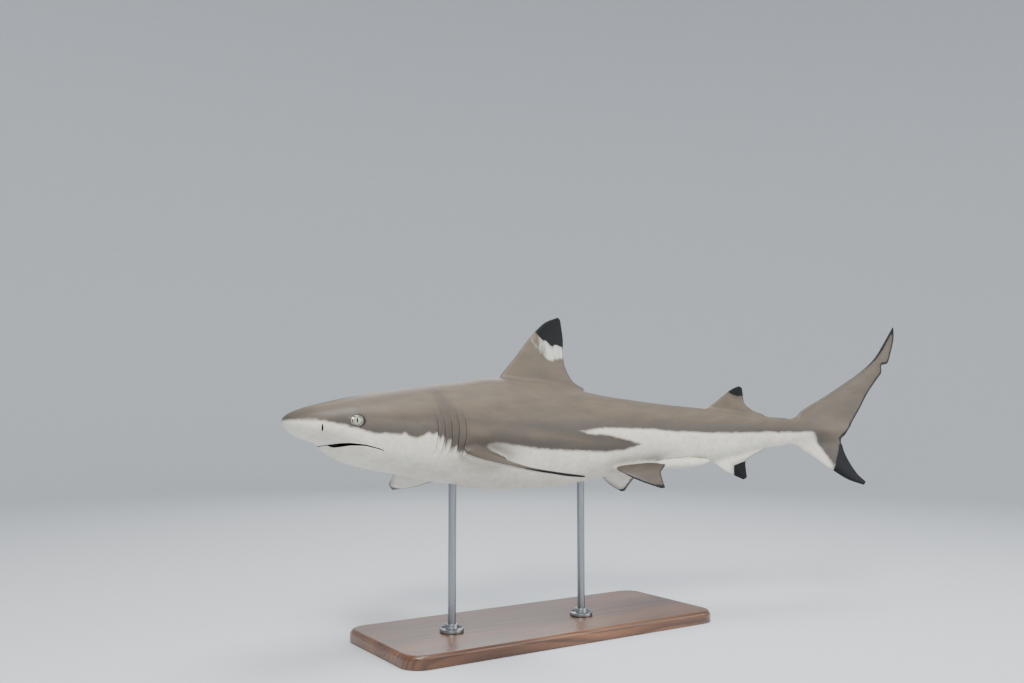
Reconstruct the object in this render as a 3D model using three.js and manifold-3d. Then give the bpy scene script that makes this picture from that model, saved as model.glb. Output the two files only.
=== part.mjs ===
// A male blacktip reef shark as a still, life-size model on a plain display stand.
// Millimetres, +Z up. The head points to -X and the shark's left side to -Y.
// The origin is the middle of the base's underside.
//
// The animal is drawn in its own coordinates (back, left, up): the distance back from the
// snout along the spine, the distance to the left of it, and the height over it.
// place() bends those along the spine, and a group banks the whole animal on its stand.
import * as THREE from 'three';
import { mergeVertices } from 'three/addons/utils/BufferGeometryUtils.js';
import Module from 'manifold-3d';

const wasm = await Module();
wasm.setup();

// ---- how the animal swims ----

const AXIS_HEIGHT = 365;
const PIVOT_BACK = 514;
const BANK = THREE.MathUtils.degToRad(-6);
const NOSE_UP = THREE.MathUtils.degToRad(2.3);

// Heading of the spine, in degrees to the right, at distances back from the snout.
const HEADING_AT = [0, 176, 414, 694, 1002, 1114, 1394];
const HEADING = [10.4, 10.4, 0, -16.8, -25.1, -16.5, -7.1];
const SPINE_STEP = 5;

// ---- the body's cross-sections ----

// top and bottom are heights over the spine, half is half the width, widest is the height
// of the widest line, and belly is 2 for a round underside and more for a flatter one.
const SECTIONS = [
  { back: 0, top: 1, bottom: -2, half: 2, widest: 0, belly: 2.0 },
  { back: 11, top: 12, bottom: -13, half: 25, widest: -2, belly: 2.2 },
  { back: 36, top: 22, bottom: -26, half: 44, widest: -5, belly: 2.4 },
  { back: 75, top: 33, bottom: -36, half: 59, widest: -6, belly: 2.5 },
  { back: 99, top: 39, bottom: -53, half: 65, widest: -7, belly: 2.4 },
  { back: 129, top: 46, bottom: -66, half: 70, widest: -8, belly: 2.4 },
  { back: 184, top: 57, bottom: -76, half: 77, widest: -10, belly: 2.3 },
  { back: 254, top: 70, bottom: -86, half: 82, widest: -10, belly: 2.2 },
  { back: 334, top: 83, bottom: -98, half: 88, widest: -10, belly: 2.1 },
  { back: 424, top: 96, bottom: -107, half: 90, widest: -8, belly: 2.1 },
  { back: 534, top: 90, bottom: -103, half: 85, widest: -8, belly: 2.1 },
  { back: 654, top: 70, bottom: -84, half: 70, widest: -8, belly: 2.1 },
  { back: 774, top: 55, bottom: -67, half: 54, widest: -6, belly: 2.0 },
  { back: 874, top: 45, bottom: -55, half: 40, widest: -4, belly: 2.0 },
  { back: 974, top: 31, bottom: -34, half: 28, widest: 0, belly: 2.0 },
  { back: 1049, top: 25, bottom: -25, half: 22, widest: 0, belly: 2.0 },
  { back: 1104, top: 21, bottom: -20, half: 14, widest: 1, belly: 2.0 },
  { back: 1154, top: 15, bottom: -14, half: 5, widest: 2, belly: 2.0 },
];
const BACK_ROUNDNESS = 1.95;
const COLUMNS = 28;

// Where the body is parted, and how many rings each length has.
const HEAD_END = 226;
const GILLS_END = 318;
const TRUNK_END = 654;
const TAIL_END = 934;
const STALK_END = 1090;
const CORE_END = 1150;
const GAP = 0.3;

// ---- head details ----

const EYE = { back: 93, up: -2, length: 28, height: 24, depth: 18, sunk: 6.6, turn: 0.22, sides: 14 };
const NOSTRIL = { back: 42, left: 44, up: -15, length: 3, height: 13, depth: 12, turn: 0.5, sides: 8 };
const MOUTH = { front: 76, corner: 146, half: 61, roof: -20, hinge: 182, opening: 1.2 };
const GILL_SLITS = [
  { back: 238, top: 26, bottom: -42 },
  { back: 252, top: 24, bottom: -42 },
  { back: 267, top: 22, bottom: -40 },
  { back: 284, top: 18, bottom: -32 },
  { back: 299, top: 13, bottom: -24 },
];
const SLIT = { width: 2.4, depth: 5, lean: 7 };

// ---- fins ----

// Each rib is a chord from the leading edge to the trailing edge, from root to tip.
// A rib of a middle fin reads back, up, back, up; root and tip are its thicknesses.
const FIRST_DORSAL = {
  root: 19, tip: 3, perRib: 2, across: 7,
  ribs: [
    [407, 60, 580, 60], [432, 97, 616, 80], [471, 141, 592, 96], [491, 166, 576, 124],
    [513, 190, 572, 150], [536, 210, 573, 178], [562, 221, 569, 214],
  ],
};
const SECOND_DORSAL = {
  root: 9, tip: 2, perRib: 2, across: 6,
  ribs: [
    [856, 30, 966, 20], [872, 47, 995, 30], [895, 64, 966, 42],
    [916, 80, 950, 57], [928, 87, 948, 74], [939, 91, 947, 86],
  ],
};
const ANAL = {
  root: 9, tip: 2, perRib: 2, across: 6,
  ribs: [
    [849, -34, 956, -22], [866, -52, 989, -33], [883, -64, 964, -45],
    [901, -76, 945, -58], [921, -87, 944, -75], [936, -94, 945, -89],
  ],
};
const TAIL_UPPER = {
  root: 16, tip: 3, perRib: 1, across: 6,
  ribs: [
    [1029, 15, 1114, -20], [1050, 26, 1150, -21], [1076, 44, 1174, 3], [1127, 71, 1206, 42],
    [1181, 101, 1234, 80], [1209, 117, 1260, 108], [1233, 132, 1275, 124], [1254, 148, 1277, 139],
    [1271, 165, 1293, 144], [1285, 182, 1306, 168], [1297, 197, 1318, 200], [1318, 223, 1320, 220],
  ],
};
const TAIL_LOWER = {
  root: 14, tip: 3, perRib: 2, across: 6,
  ribs: [
    [1029, -12, 1134, 5], [1046, -25, 1156, -21], [1088, -51, 1162, -42],
    [1128, -77, 1172, -62], [1166, -98, 1190, -87], [1202, -109, 1208, -102],
  ],
};
const FORK = { back: 1156, up: -22, rootUp: -6 };

// A rib of a paired fin reads back, out, back, out in the fin's plane, from its root point.
// droop lowers the tip, pitch lowers the trailing edge, and flex bends the tip up. The fin
// is stiff, and turns with the spine at rootMiddle.
const PECTORAL = {
  at: [301, 75, -45], rootMiddle: 338, droop: 17.5, pitch: 8, flex: 27.5, span: 224,
  root: 16, tip: 2.5, perRib: 2, across: 7,
  ribs: [
    [-6, -30, 66, -30], [0, 0, 84, 4], [-4, 36, 104, 38], [-2, 75, 114, 68],
    [21, 130, 100, 115], [45, 183, 92, 172], [74, 224, 78, 222],
  ],
};
const PELVIC = {
  at: [647, 36, -64], rootMiddle: 705, droop: 36.5, pitch: 0, flex: 0, span: 76,
  root: 12, tip: 2.5, perRib: 2, across: 6,
  ribs: [
    [-6, -24, 108, -26], [0, 0, 114, 0], [22, 32, 95, 27], [48, 58, 89, 50], [73, 76, 84, 76],
  ],
};
// A clasper's middle line, and its radius at each of its points.
const CLASPER = {
  path: [[716, 27, -62], [754, 27, -61], [814, 27, -60], [842, 26.5, -59.5], [857, 26, -58]],
  radius: [6, 9.5, 9.8, 7, 2.5],
  rings: 9, sides: 8,
};

// ---- stand ----

const BASE = { length: 660, width: 260, height: 22, corner: 36, bevel: 3 };
const ROD_RADIUS = 7;
const ROD_BACK = { front: 330, rear: 600 };
const COLLAR = { radius: 21, height: 14, bevel: 2 };
const ROUND_SIDES = 20;

// ---- curves ----

// A smooth curve through values at keys that never overshoots them.
function smooth(keys, values, x) {
  const last = keys.length - 1;
  const at = THREE.MathUtils.clamp(x, keys[0], keys[last]);
  let i = 0;
  while (i < last - 1 && at >= keys[i + 1]) i += 1;
  const width = (k) => keys[k + 1] - keys[k];
  const rise = (k) => (values[k + 1] - values[k]) / width(k);
  const slope = (k) => {
    if (k === 0) return rise(0);
    if (k === last) return rise(last - 1);
    if (rise(k - 1) * rise(k) <= 0) return 0;
    const before = 2 * width(k) + width(k - 1);
    const after = width(k) + 2 * width(k - 1);
    return (before + after) / (before / rise(k - 1) + after / rise(k));
  };
  const h = width(i);
  const u = (at - keys[i]) / h;
  const w = 1 - u;
  return (1 + 2 * u) * w * w * values[i] + u * w * w * h * slope(i)
    + u * u * (3 - 2 * u) * values[i + 1] - u * u * w * h * slope(i + 1);
}

// The spine, stepped from the snout: position and heading at every SPINE_STEP.
const spine = [{ x: 0, y: 0 }];
const headingAt = (back) => THREE.MathUtils.degToRad(smooth(HEADING_AT, HEADING, back));
for (let back = SPINE_STEP; back <= HEADING_AT.at(-1); back += SPINE_STEP) {
  const heading = headingAt(back - SPINE_STEP / 2);
  const { x, y } = spine.at(-1);
  spine.push({ x: x + SPINE_STEP * Math.cos(heading), y: y + SPINE_STEP * Math.sin(heading) });
}

function spineAt(back) {
  const k = THREE.MathUtils.clamp(back / SPINE_STEP, 0, spine.length - 1.001);
  const i = Math.floor(k);
  const x = THREE.MathUtils.lerp(spine[i].x, spine[i + 1].x, k - i);
  const y = THREE.MathUtils.lerp(spine[i].y, spine[i + 1].y, k - i);
  return { x, y, heading: headingAt(back) };
}

const pivot = spineAt(PIVOT_BACK);

// A point bent along the spine or, for a stiff fin, carried by the spine at its root.
function place(back, left, up, carrier = back) {
  const { x, y, heading } = spineAt(carrier);
  const behind = back - carrier;
  return new THREE.Vector3(
    x + behind * Math.cos(heading) + left * Math.sin(heading) - pivot.x,
    y + behind * Math.sin(heading) - left * Math.cos(heading) - pivot.y,
    up,
  );
}

// ---- solids ----

// A closed skin over rings of equal length; its ends are fans round their middles.
function loft(rings) {
  const count = rings[0].length;
  const points = rings.flat();
  const triangles = [];
  for (let i = 0; i < rings.length - 1; i += 1) {
    for (let j = 0; j < count; j += 1) {
      const a = i * count + j;
      const b = i * count + ((j + 1) % count);
      triangles.push(a, b, b + count, a, b + count, a + count);
    }
  }
  [0, rings.length - 1].forEach((i) => {
    const middle = new THREE.Vector3();
    rings[i].forEach((point) => middle.addScaledVector(point, 1 / count));
    points.push(middle);
    for (let j = 0; j < count; j += 1) {
      const a = i * count + j;
      const b = i * count + ((j + 1) % count);
      triangles.push(...(i === 0 ? [points.length - 1, b, a] : [points.length - 1, a, b]));
    }
  });
  const geometry = new THREE.BufferGeometry().setFromPoints(points);
  geometry.setIndex(triangles);
  return geometry;
}

// Moves a geometry from (back, left, up) coordinates onto the bent spine.
function bend(geometry) {
  const position = geometry.getAttribute('position');
  for (let i = 0; i < position.count; i += 1) {
    const point = place(position.getX(i), position.getY(i), position.getZ(i));
    position.setXYZ(i, point.x, point.y, point.z);
  }
  return geometry;
}

function signedVolume(positions, index) {
  const corner = (k) => new THREE.Vector3().fromArray(positions, 3 * index[k]);
  let volume = 0;
  for (let k = 0; k < index.length; k += 3) {
    volume += corner(k).dot(corner(k + 1).cross(corner(k + 2))) / 6;
  }
  return volume;
}

// A geometry as a solid whose faces point outwards.
function solid(geometry, matrix = new THREE.Matrix4()) {
  const bare = geometry.clone().applyMatrix4(matrix);
  bare.deleteAttribute('normal');
  bare.deleteAttribute('uv');
  const merged = mergeVertices(bare, 1e-3);
  const positions = new Float32Array(merged.getAttribute('position').array);
  const index = new Uint32Array(merged.getIndex().array);
  if (signedVolume(positions, index) < 0) index.reverse();
  const mesh = new wasm.Mesh({ numProp: 3, vertProperties: positions, triVerts: index });
  mesh.merge();
  return new wasm.Manifold(mesh);
}

// The largest single piece of a solid, as a geometry.
function geometryOf(shape) {
  const pieces = shape.decompose();
  const largest = pieces.reduce((a, b) => (a.volume() > b.volume() ? a : b));
  const mesh = largest.getMesh();
  const geometry = new THREE.BufferGeometry();
  geometry.setAttribute('position', new THREE.BufferAttribute(mesh.vertProperties, 3));
  geometry.setIndex(Array.from(mesh.triVerts));
  return geometry;
}

// ---- the body ----

const roots = SECTIONS.map((section) => Math.sqrt(section.back));

function sizesAt(back) {
  const read = (name) => smooth(roots, SECTIONS.map((section) => section[name]), Math.sqrt(back));
  return {
    top: read('top'), bottom: read('bottom'), half: read('half'),
    widest: read('widest'), belly: read('belly'),
  };
}

// A point of the skin at an angle round the body: 0 is the left side, 90 degrees the back.
function skinPoint(back, angle, grow = 0) {
  const { top, bottom, half, widest, belly } = sizesAt(back);
  const c = Math.cos(angle);
  const s = Math.sin(angle);
  const power = 2 / (s >= 0 ? BACK_ROUNDNESS : belly);
  const rise = (s >= 0 ? top - widest : widest - bottom) + grow;
  return [
    (half + grow) * Math.sign(c) * Math.abs(c) ** power,
    widest + rise * Math.sign(s) * Math.abs(s) ** power,
  ];
}

function bodyRing(back, grow) {
  return Array.from({ length: COLUMNS }, (_, j) => {
    const [left, up] = skinPoint(back, (2 * Math.PI * j) / COLUMNS, grow);
    return place(back, left, up);
  });
}

function bodyLength(from, to, rings, grow = 0) {
  return loft(Array.from({ length: rings }, (_, i) => (
    bodyRing(from + ((to - from) * i) / (rings - 1), grow)
  )));
}

// The head's rings crowd towards the snout, where it is rounder.
function headLength(rings, end, grow = 0) {
  return loft(Array.from({ length: rings }, (_, i) => (
    bodyRing(end * (i / (rings - 1)) ** 1.7, grow)
  )));
}

const HEAD_RINGS = 15;
const GILL_RINGS = 5;
const TRUNK_RINGS = 13;
const TAIL_RINGS = 10;
const STALK_RINGS = 6;
const CORE_RINGS = 3;

const lengths = {
  head: solid(headLength(HEAD_RINGS, HEAD_END)),
  gill_region: solid(bodyLength(HEAD_END + GAP, GILLS_END, GILL_RINGS)),
  trunk: solid(bodyLength(GILLS_END + GAP, TRUNK_END, TRUNK_RINGS)),
  tail: solid(bodyLength(TRUNK_END + GAP, TAIL_END, TAIL_RINGS)),
  tail_stalk: solid(bodyLength(TAIL_END + GAP, STALK_END, STALK_RINGS)),
};

// The whole body, a gap larger all round, which trims what grows out of it.
const bodyAndGap = solid(headLength(HEAD_RINGS, HEAD_END, GAP))
  .add(solid(bodyLength(HEAD_END - 1, GILLS_END + 1, GILL_RINGS, GAP)))
  .add(solid(bodyLength(GILLS_END, TRUNK_END, TRUNK_RINGS, GAP)))
  .add(solid(bodyLength(TRUNK_END - 1, TAIL_END + 1, TAIL_RINGS, GAP)))
  .add(solid(bodyLength(TAIL_END, STALK_END + GAP, STALK_RINGS, GAP)));

// ---- fins ----

// Half the thickness of a fin at a fraction v of its chord, for a thickness of 1.
function foil(v) {
  return 5 * (0.2969 * Math.sqrt(v) - 0.126 * v - 0.3516 * v ** 2 + 0.2843 * v ** 3 - 0.1036 * v ** 4);
}

const FIN_EDGE = 0.6;

// Rings of (along, span, thickness) points round each chord of a fin, root to tip.
function finRings({ ribs, root, tip, perRib, across }, grow = 0) {
  const edge = (a, b) => new THREE.CatmullRomCurve3(
    ribs.map((rib) => new THREE.Vector3(rib[a], rib[b], 0)),
    false,
    'centripetal',
  );
  const count = (ribs.length - 1) * perRib;
  const leading = edge(0, 1).getPoints(count);
  const trailing = edge(2, 3).getPoints(count);
  return leading.map((start, i) => {
    const chord = new THREE.Vector3().subVectors(trailing[i], start);
    const outer = chord.clone().setLength(grow);
    const thickness = Math.min(
      THREE.MathUtils.lerp(root, tip, i / count),
      chord.length() * 0.35,
    );
    const ring = [];
    for (let k = 0; k < 2 * across; k += 1) {
      const side = k < across ? 1 : -1;
      const step = k < across ? k : 2 * across - 1 - k;
      const v = (1 - Math.cos((Math.PI * step) / (across - 1))) / 2;
      const point = start.clone().addScaledVector(chord, v).addScaledVector(outer, 2 * v - 1);
      point.z = side * (FIN_EDGE / 2 + grow + thickness * foil(v));
      ring.push(point);
    }
    return ring;
  });
}

function middleFin(shape) {
  return solid(loft(finRings(shape).map((ring) => (
    ring.map(({ x, y, z }) => place(x, z, y))
  ))));
}

function pairedFin(shape, side, grow = 0) {
  const droop = THREE.MathUtils.degToRad(shape.droop);
  const pitch = THREE.MathUtils.degToRad(shape.pitch);
  const out = new THREE.Vector3(0, Math.cos(droop), -Math.sin(droop));
  const lift = new THREE.Vector3(0, Math.sin(droop), Math.cos(droop));
  const back = new THREE.Vector3(Math.cos(pitch), 0, 0).addScaledVector(lift, -Math.sin(pitch));
  const normal = new THREE.Vector3().crossVectors(back, out);
  return solid(loft(finRings(shape, grow).map((ring) => ring.map(({ x, y, z }) => {
    const flex = shape.flex * (Math.max(y, 0) / shape.span) ** 2;
    const point = new THREE.Vector3(...shape.at)
      .addScaledVector(back, x)
      .addScaledVector(out, y)
      .addScaledVector(normal, z + flex);
    return place(point.x, side * point.y, point.z, shape.rootMiddle);
  }))));
}

function clasper(side) {
  const path = new THREE.CatmullRomCurve3(
    CLASPER.path.map((point) => new THREE.Vector3(...point)),
    false,
    'centripetal',
  );
  const points = path.getPoints(CLASPER.rings - 1);
  return solid(loft(points.map((middle, i) => {
    const keys = CLASPER.radius.map((_, k) => k / (CLASPER.radius.length - 1));
    const radius = smooth(keys, CLASPER.radius, i / (CLASPER.rings - 1));
    return Array.from({ length: CLASPER.sides }, (_, j) => {
      const angle = (2 * Math.PI * j) / CLASPER.sides;
      const left = side * (middle.y + radius * Math.cos(angle));
      return place(middle.x, left, middle.z + radius * Math.sin(angle));
    });
  })));
}

// ---- head details ----

const SIDES = { left: 1, right: -1 };

// An egg-shaped solid lying in the side of the head, grown by a gap where it is a socket.
function egg({ length, height, depth, turn, sides }, at, side, grow) {
  const shape = new THREE.SphereGeometry(1, sides, sides / 2 + 1);
  shape.rotateX(Math.PI / 2);
  shape.scale(length / 2 + grow, depth / 2 + grow, height / 2 + grow);
  shape.rotateZ(turn);
  shape.translate(at.back, at.left, at.up);
  shape.scale(1, side, 1);
  return solid(bend(shape));
}

function eye(side, grow = 0) {
  const left = sizesAt(EYE.back).half - EYE.sunk;
  return egg(EYE, { back: EYE.back, left, up: EYE.up }, side, grow);
}

// The lower jaw's block: the mouth's arch in plan, straight back from its corners to the
// hinge, and up from under the chin to the roof of the mouth.
function jawBlock(grow) {
  const outline = new THREE.Shape();
  const half = MOUTH.half + grow;
  const front = MOUTH.front - grow;
  const hinge = MOUTH.hinge + grow;
  const depth = (MOUTH.corner - front) / half ** 2;
  const steps = 14;
  outline.moveTo(hinge, half);
  for (let i = 0; i <= steps; i += 1) {
    const left = half * (1 - (2 * i) / steps);
    outline.lineTo(front + depth * left ** 2, left);
  }
  outline.lineTo(hinge, -half);
  outline.closePath();
  const under = 120;
  const block = new THREE.ExtrudeGeometry(outline, {
    depth: under + MOUTH.roof + grow, bevelEnabled: false,
  });
  block.translate(0, 0, -under);
  return solid(bend(block));
}

// A gill slit's cutter: a thin curved wedge that runs down the side of the body.
function gillSlit({ back, top, bottom }, side) {
  const steps = 3;
  return solid(loft(Array.from({ length: steps + 1 }, (_, i) => {
    const t = i / steps;
    const angle = THREE.MathUtils.degToRad(THREE.MathUtils.lerp(top, bottom, t));
    const middle = back + SLIT.lean * (t - 0.5);
    const half = (SLIT.width / 2) * Math.sin(Math.PI * (0.06 + 0.88 * t));
    const corners = [[-half, -SLIT.depth], [half, -SLIT.depth], [half, 4], [-half, 4]];
    return corners.map(([shift, grow]) => {
      const [left, up] = skinPoint(middle + shift, angle, grow);
      return place(middle + shift, side * left, up);
    });
  })));
}

Object.values(SIDES).forEach((side) => {
  lengths.head = lengths.head
    .subtract(eye(side, GAP))
    .subtract(egg(NOSTRIL, NOSTRIL, side, 0));
  GILL_SLITS.forEach((slit) => {
    lengths.gill_region = lengths.gill_region.subtract(gillSlit(slit, side));
  });
});
lengths.lower_jaw = lengths.head.intersect(jawBlock(0));
lengths.head = lengths.head.subtract(jawBlock(MOUTH.opening));

// ---- the tail fin ----

// What lies under a sloping line from the tail's root to the fork, raised by a shift.
function underFork(shift) {
  const slope = (FORK.up - FORK.rootUp) / (FORK.back - STALK_END);
  const start = 1000;
  const end = 1300;
  const line = (back) => FORK.up + slope * (back - FORK.back) + shift;
  const outline = new THREE.Shape();
  outline.moveTo(start, -200);
  outline.lineTo(end, -200);
  outline.lineTo(end, line(end));
  outline.lineTo(start, line(start));
  outline.closePath();
  const block = new THREE.ExtrudeGeometry(outline, { depth: 80, bevelEnabled: false });
  block.translate(0, 0, -40);
  block.rotateX(Math.PI / 2);
  return solid(bend(block));
}

const tailFin = middleFin(TAIL_UPPER)
  .add(middleFin(TAIL_LOWER))
  .add(solid(bodyLength(STALK_END - 10, CORE_END, CORE_RINGS)))
  .subtract(bodyAndGap);

// ---- materials ----

const finish = (color, roughness, metalness = 0) => (
  new THREE.MeshStandardMaterial({ color, roughness, metalness })
);
const skin = finish(0x7d7468, 0.45);
const jawSkin = finish(0xd8d6cd, 0.45);
const finSkin = finish(0x6b6359, 0.45);
const eyeGlass = finish(0xb9b79a, 0.1);
const walnut = finish(0x3a261a, 0.4);
const steel = finish(0xb8bcc0, 0.3, 1);

// ---- assembly ----

const group = new THREE.Group();
const shark = new THREE.Group();
shark.position.z = AXIS_HEIGHT;
shark.rotation.set(BANK, NOSE_UP, 0);
shark.updateMatrixWorld();
group.add(shark);

function add(parent, name, geometry, material) {
  const mesh = new THREE.Mesh(geometry, material);
  mesh.name = name;
  parent.add(mesh);
  return mesh;
}

Object.entries(lengths).forEach(([name, shape]) => {
  add(shark, name, geometryOf(shape), name === 'lower_jaw' ? jawSkin : skin);
});
add(shark, 'first_dorsal_fin', geometryOf(middleFin(FIRST_DORSAL).subtract(bodyAndGap)), finSkin);
add(shark, 'second_dorsal_fin', geometryOf(middleFin(SECOND_DORSAL).subtract(bodyAndGap)), finSkin);
add(shark, 'anal_fin', geometryOf(middleFin(ANAL).subtract(bodyAndGap)), finSkin);
add(shark, 'tail_fin_upper_lobe', geometryOf(tailFin.subtract(underFork(GAP / 2))), finSkin);
add(shark, 'tail_fin_lower_lobe', geometryOf(tailFin.intersect(underFork(-GAP / 2))), finSkin);

Object.entries(SIDES).forEach(([word, side]) => {
  const pelvic = pairedFin(PELVIC, side).subtract(bodyAndGap);
  const pelvicAndGap = pairedFin(PELVIC, side, GAP);
  add(shark, `pectoral_fin_${word}`, geometryOf(pairedFin(PECTORAL, side).subtract(bodyAndGap)), finSkin);
  add(shark, `pelvic_fin_${word}`, geometryOf(pelvic), finSkin);
  add(shark, `clasper_${word}`, geometryOf(clasper(side).subtract(bodyAndGap).subtract(pelvicAndGap)), jawSkin);
  add(shark, `eye_${word}`, geometryOf(eye(side)), eyeGlass);
});

// The base is a plain board with rounded corners and a small bevel round its top edge.
function baseBoard() {
  const { length, width, height, corner, bevel } = BASE;
  const x = length / 2 - bevel;
  const y = width / 2 - bevel;
  const r = corner - bevel;
  const outline = new THREE.Shape();
  outline.moveTo(-x + r, -y);
  outline.lineTo(x - r, -y);
  outline.absarc(x - r, -y + r, r, -Math.PI / 2, 0);
  outline.absarc(x - r, y - r, r, 0, Math.PI / 2);
  outline.absarc(-x + r, y - r, r, Math.PI / 2, Math.PI);
  outline.absarc(-x + r, -y + r, r, Math.PI, 1.5 * Math.PI);
  const board = new THREE.ExtrudeGeometry(outline, {
    depth: height - 2 * bevel, curveSegments: 5, bevelThickness: bevel, bevelSize: bevel, bevelSegments: 1,
  });
  board.translate(0, 0, bevel);
  return board;
}

add(group, 'stand_base', baseBoard(), walnut);

Object.entries(ROD_BACK).forEach(([word, back]) => {
  const foot = place(back, 0, sizesAt(back).bottom).applyMatrix4(shark.matrixWorld);
  const floor = BASE.height + GAP;
  const rod = new THREE.CylinderGeometry(ROD_RADIUS, ROD_RADIUS, AXIS_HEIGHT - floor, ROUND_SIDES);
  rod.rotateX(Math.PI / 2);
  rod.translate(foot.x, foot.y, (AXIS_HEIGHT + floor) / 2);
  const sharkAndGap = bodyAndGap.transform(shark.matrixWorld.elements);
  add(group, `stand_rod_${word}`, geometryOf(solid(rod).subtract(sharkAndGap)), steel);

  const inner = ROD_RADIUS + GAP;
  const { radius, height, bevel } = COLLAR;
  const profile = [
    [inner, 0], [radius, 0], [radius, height - bevel], [radius - bevel, height], [inner, height], [inner, 0],
  ].map(([r, up]) => new THREE.Vector2(r, up));
  const collar = new THREE.LatheGeometry(profile, ROUND_SIDES);
  collar.rotateX(Math.PI / 2);
  collar.translate(foot.x, foot.y, floor);
  add(group, `stand_collar_${word}`, collar, steel);
});

export default group;
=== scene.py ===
# A male blacktip reef shark as a still, life-size display model: its base, rods and collars, one
# skin over the whole animal, and its glass eyes. Sizes are in millimetres, and those of materials,
# lamps and the camera in metres.
import math
import bpy
import numpy as np
from mathutils import Matrix, Vector, kdtree


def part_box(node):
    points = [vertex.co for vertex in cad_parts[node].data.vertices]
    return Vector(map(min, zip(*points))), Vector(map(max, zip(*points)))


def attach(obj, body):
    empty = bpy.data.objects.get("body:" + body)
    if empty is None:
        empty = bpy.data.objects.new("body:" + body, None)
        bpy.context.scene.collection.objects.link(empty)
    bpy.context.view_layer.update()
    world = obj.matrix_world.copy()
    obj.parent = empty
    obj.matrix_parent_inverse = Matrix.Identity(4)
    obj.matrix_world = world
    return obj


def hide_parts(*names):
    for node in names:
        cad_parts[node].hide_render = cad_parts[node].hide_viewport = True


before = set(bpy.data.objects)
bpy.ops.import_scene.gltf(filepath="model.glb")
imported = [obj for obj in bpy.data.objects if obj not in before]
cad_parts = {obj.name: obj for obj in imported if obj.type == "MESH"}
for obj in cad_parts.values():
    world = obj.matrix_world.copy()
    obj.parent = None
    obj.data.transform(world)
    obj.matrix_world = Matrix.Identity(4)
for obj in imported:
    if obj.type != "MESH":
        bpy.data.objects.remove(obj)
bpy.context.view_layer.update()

# ---- The base board ----
# A flat board of dark walnut that carries the whole model. It is planed from one plank, so its
# growth rings run the long way, moulded round the top edge, oiled, and given a satin lacquer.

METRE = 1000.0
BOARD_CORNER = 36
BOARD_FOOT = 1.2
MOULDING_STEP = 1.4
MOULDING_BEAD = 0.3
MOULDING_ROUND = 7.0
MOULDING_FACETS = 8
RINGS_PER_METRE = 118.0
HEART_ACROSS = -0.021
HEART_DEPTH = 0.052


def paint(red, green, blue):
    """A colour from its 0 to 255 display values."""
    values = [value / 255 for value in (red, green, blue)]
    return [v / 12.92 if v <= 0.04045 else ((v + 0.055) / 1.055) ** 2.4 for v in values] + [1.0]


WALNUT_DARK = paint(44, 25, 15)
WALNUT_MID = paint(84, 52, 32)
WALNUT_LIGHT = paint(122, 80, 50)


class Tone:
    """A value or colour in a finish. Arithmetic on it adds Math nodes to the finish."""

    def __init__(self, finish, socket):
        self.finish = finish
        self.socket = socket

    def __add__(self, other):
        return self.finish.maths("ADD", self, other)

    def __sub__(self, other):
        return self.finish.maths("SUBTRACT", self, other)

    def __rsub__(self, other):
        return self.finish.maths("SUBTRACT", other, self)

    def __mul__(self, other):
        return self.finish.maths("MULTIPLY", self, other)

    def __truediv__(self, other):
        return self.finish.maths("DIVIDE", self, other)

    def __abs__(self):
        return self.finish.maths("ABSOLUTE", self)

    __radd__ = __add__
    __rmul__ = __mul__


class Finish:
    """A material on one shader. Constants go on its own sockets, and node() adds any node."""

    def __init__(self, name, constants):
        self.material = bpy.data.materials.new(name)
        self.material.use_nodes = True
        self.nodes = self.material.node_tree.nodes
        self.links = self.material.node_tree.links
        self.shader = self.nodes["Principled BSDF"]
        self.set(self.shader, constants)

    def set(self, node, values):
        for name, value in values.items():
            if isinstance(value, Tone):
                self.links.new(value.socket, node.inputs[name])
            else:
                node.inputs[name].default_value = value

    def node(self, kind, settings, values, output=0):
        node = self.nodes.new(kind)
        for name, value in settings.items():
            setattr(node, name, value)
        self.set(node, values)
        return Tone(self, node.outputs[output])

    def maths(self, operation, *values):
        return self.node("ShaderNodeMath", {"operation": operation}, dict(enumerate(values)))

    def attribute(self, name, output="Vector"):
        return self.node("ShaderNodeAttribute", {"attribute_name": name}, {}, output)

    def place(self, stretch=(1, 1, 1)):
        """The object's own coordinates in metres, stretched."""
        own = self.node("ShaderNodeTexCoord", {}, {}, "Object")
        return self.node("ShaderNodeMapping", {}, {"Vector": own, "Scale": stretch})

    def parts(self, vector):
        return [self.node("ShaderNodeSeparateXYZ", {}, {0: vector}, axis) for axis in "XYZ"]

    def noise(self, where, scale, detail=3.0, distortion=0.0):
        return self.node("ShaderNodeTexNoise", {}, {
            "Vector": where, "Scale": scale, "Detail": detail, "Distortion": distortion,
        })

    def step(self, value, low, high, start=0.0, end=1.0):
        """Eases from start to end while the value goes from low to high."""
        return self.node("ShaderNodeMapRange", {"interpolation_type": "SMOOTHSTEP"}, {
            "Value": value, "From Min": low, "From Max": high, "To Min": start, "To Max": end,
        })

    def blend(self, amount, first, second):
        """The first colour, going over to the second."""
        return self.node("ShaderNodeMix", {"data_type": "RGBA"}, {0: amount, 6: first, 7: second}, 2)

    def bump(self, height, strength, distance):
        return self.node("ShaderNodeBump", {}, {
            "Height": height, "Strength": strength, "Distance": distance,
        })

    def wear(self, **varying):
        """Feeds what varies over the surface to the shader."""
        self.set(self.shader, {name.replace("_", " "): value for name, value in varying.items()})
        return self.material


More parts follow.
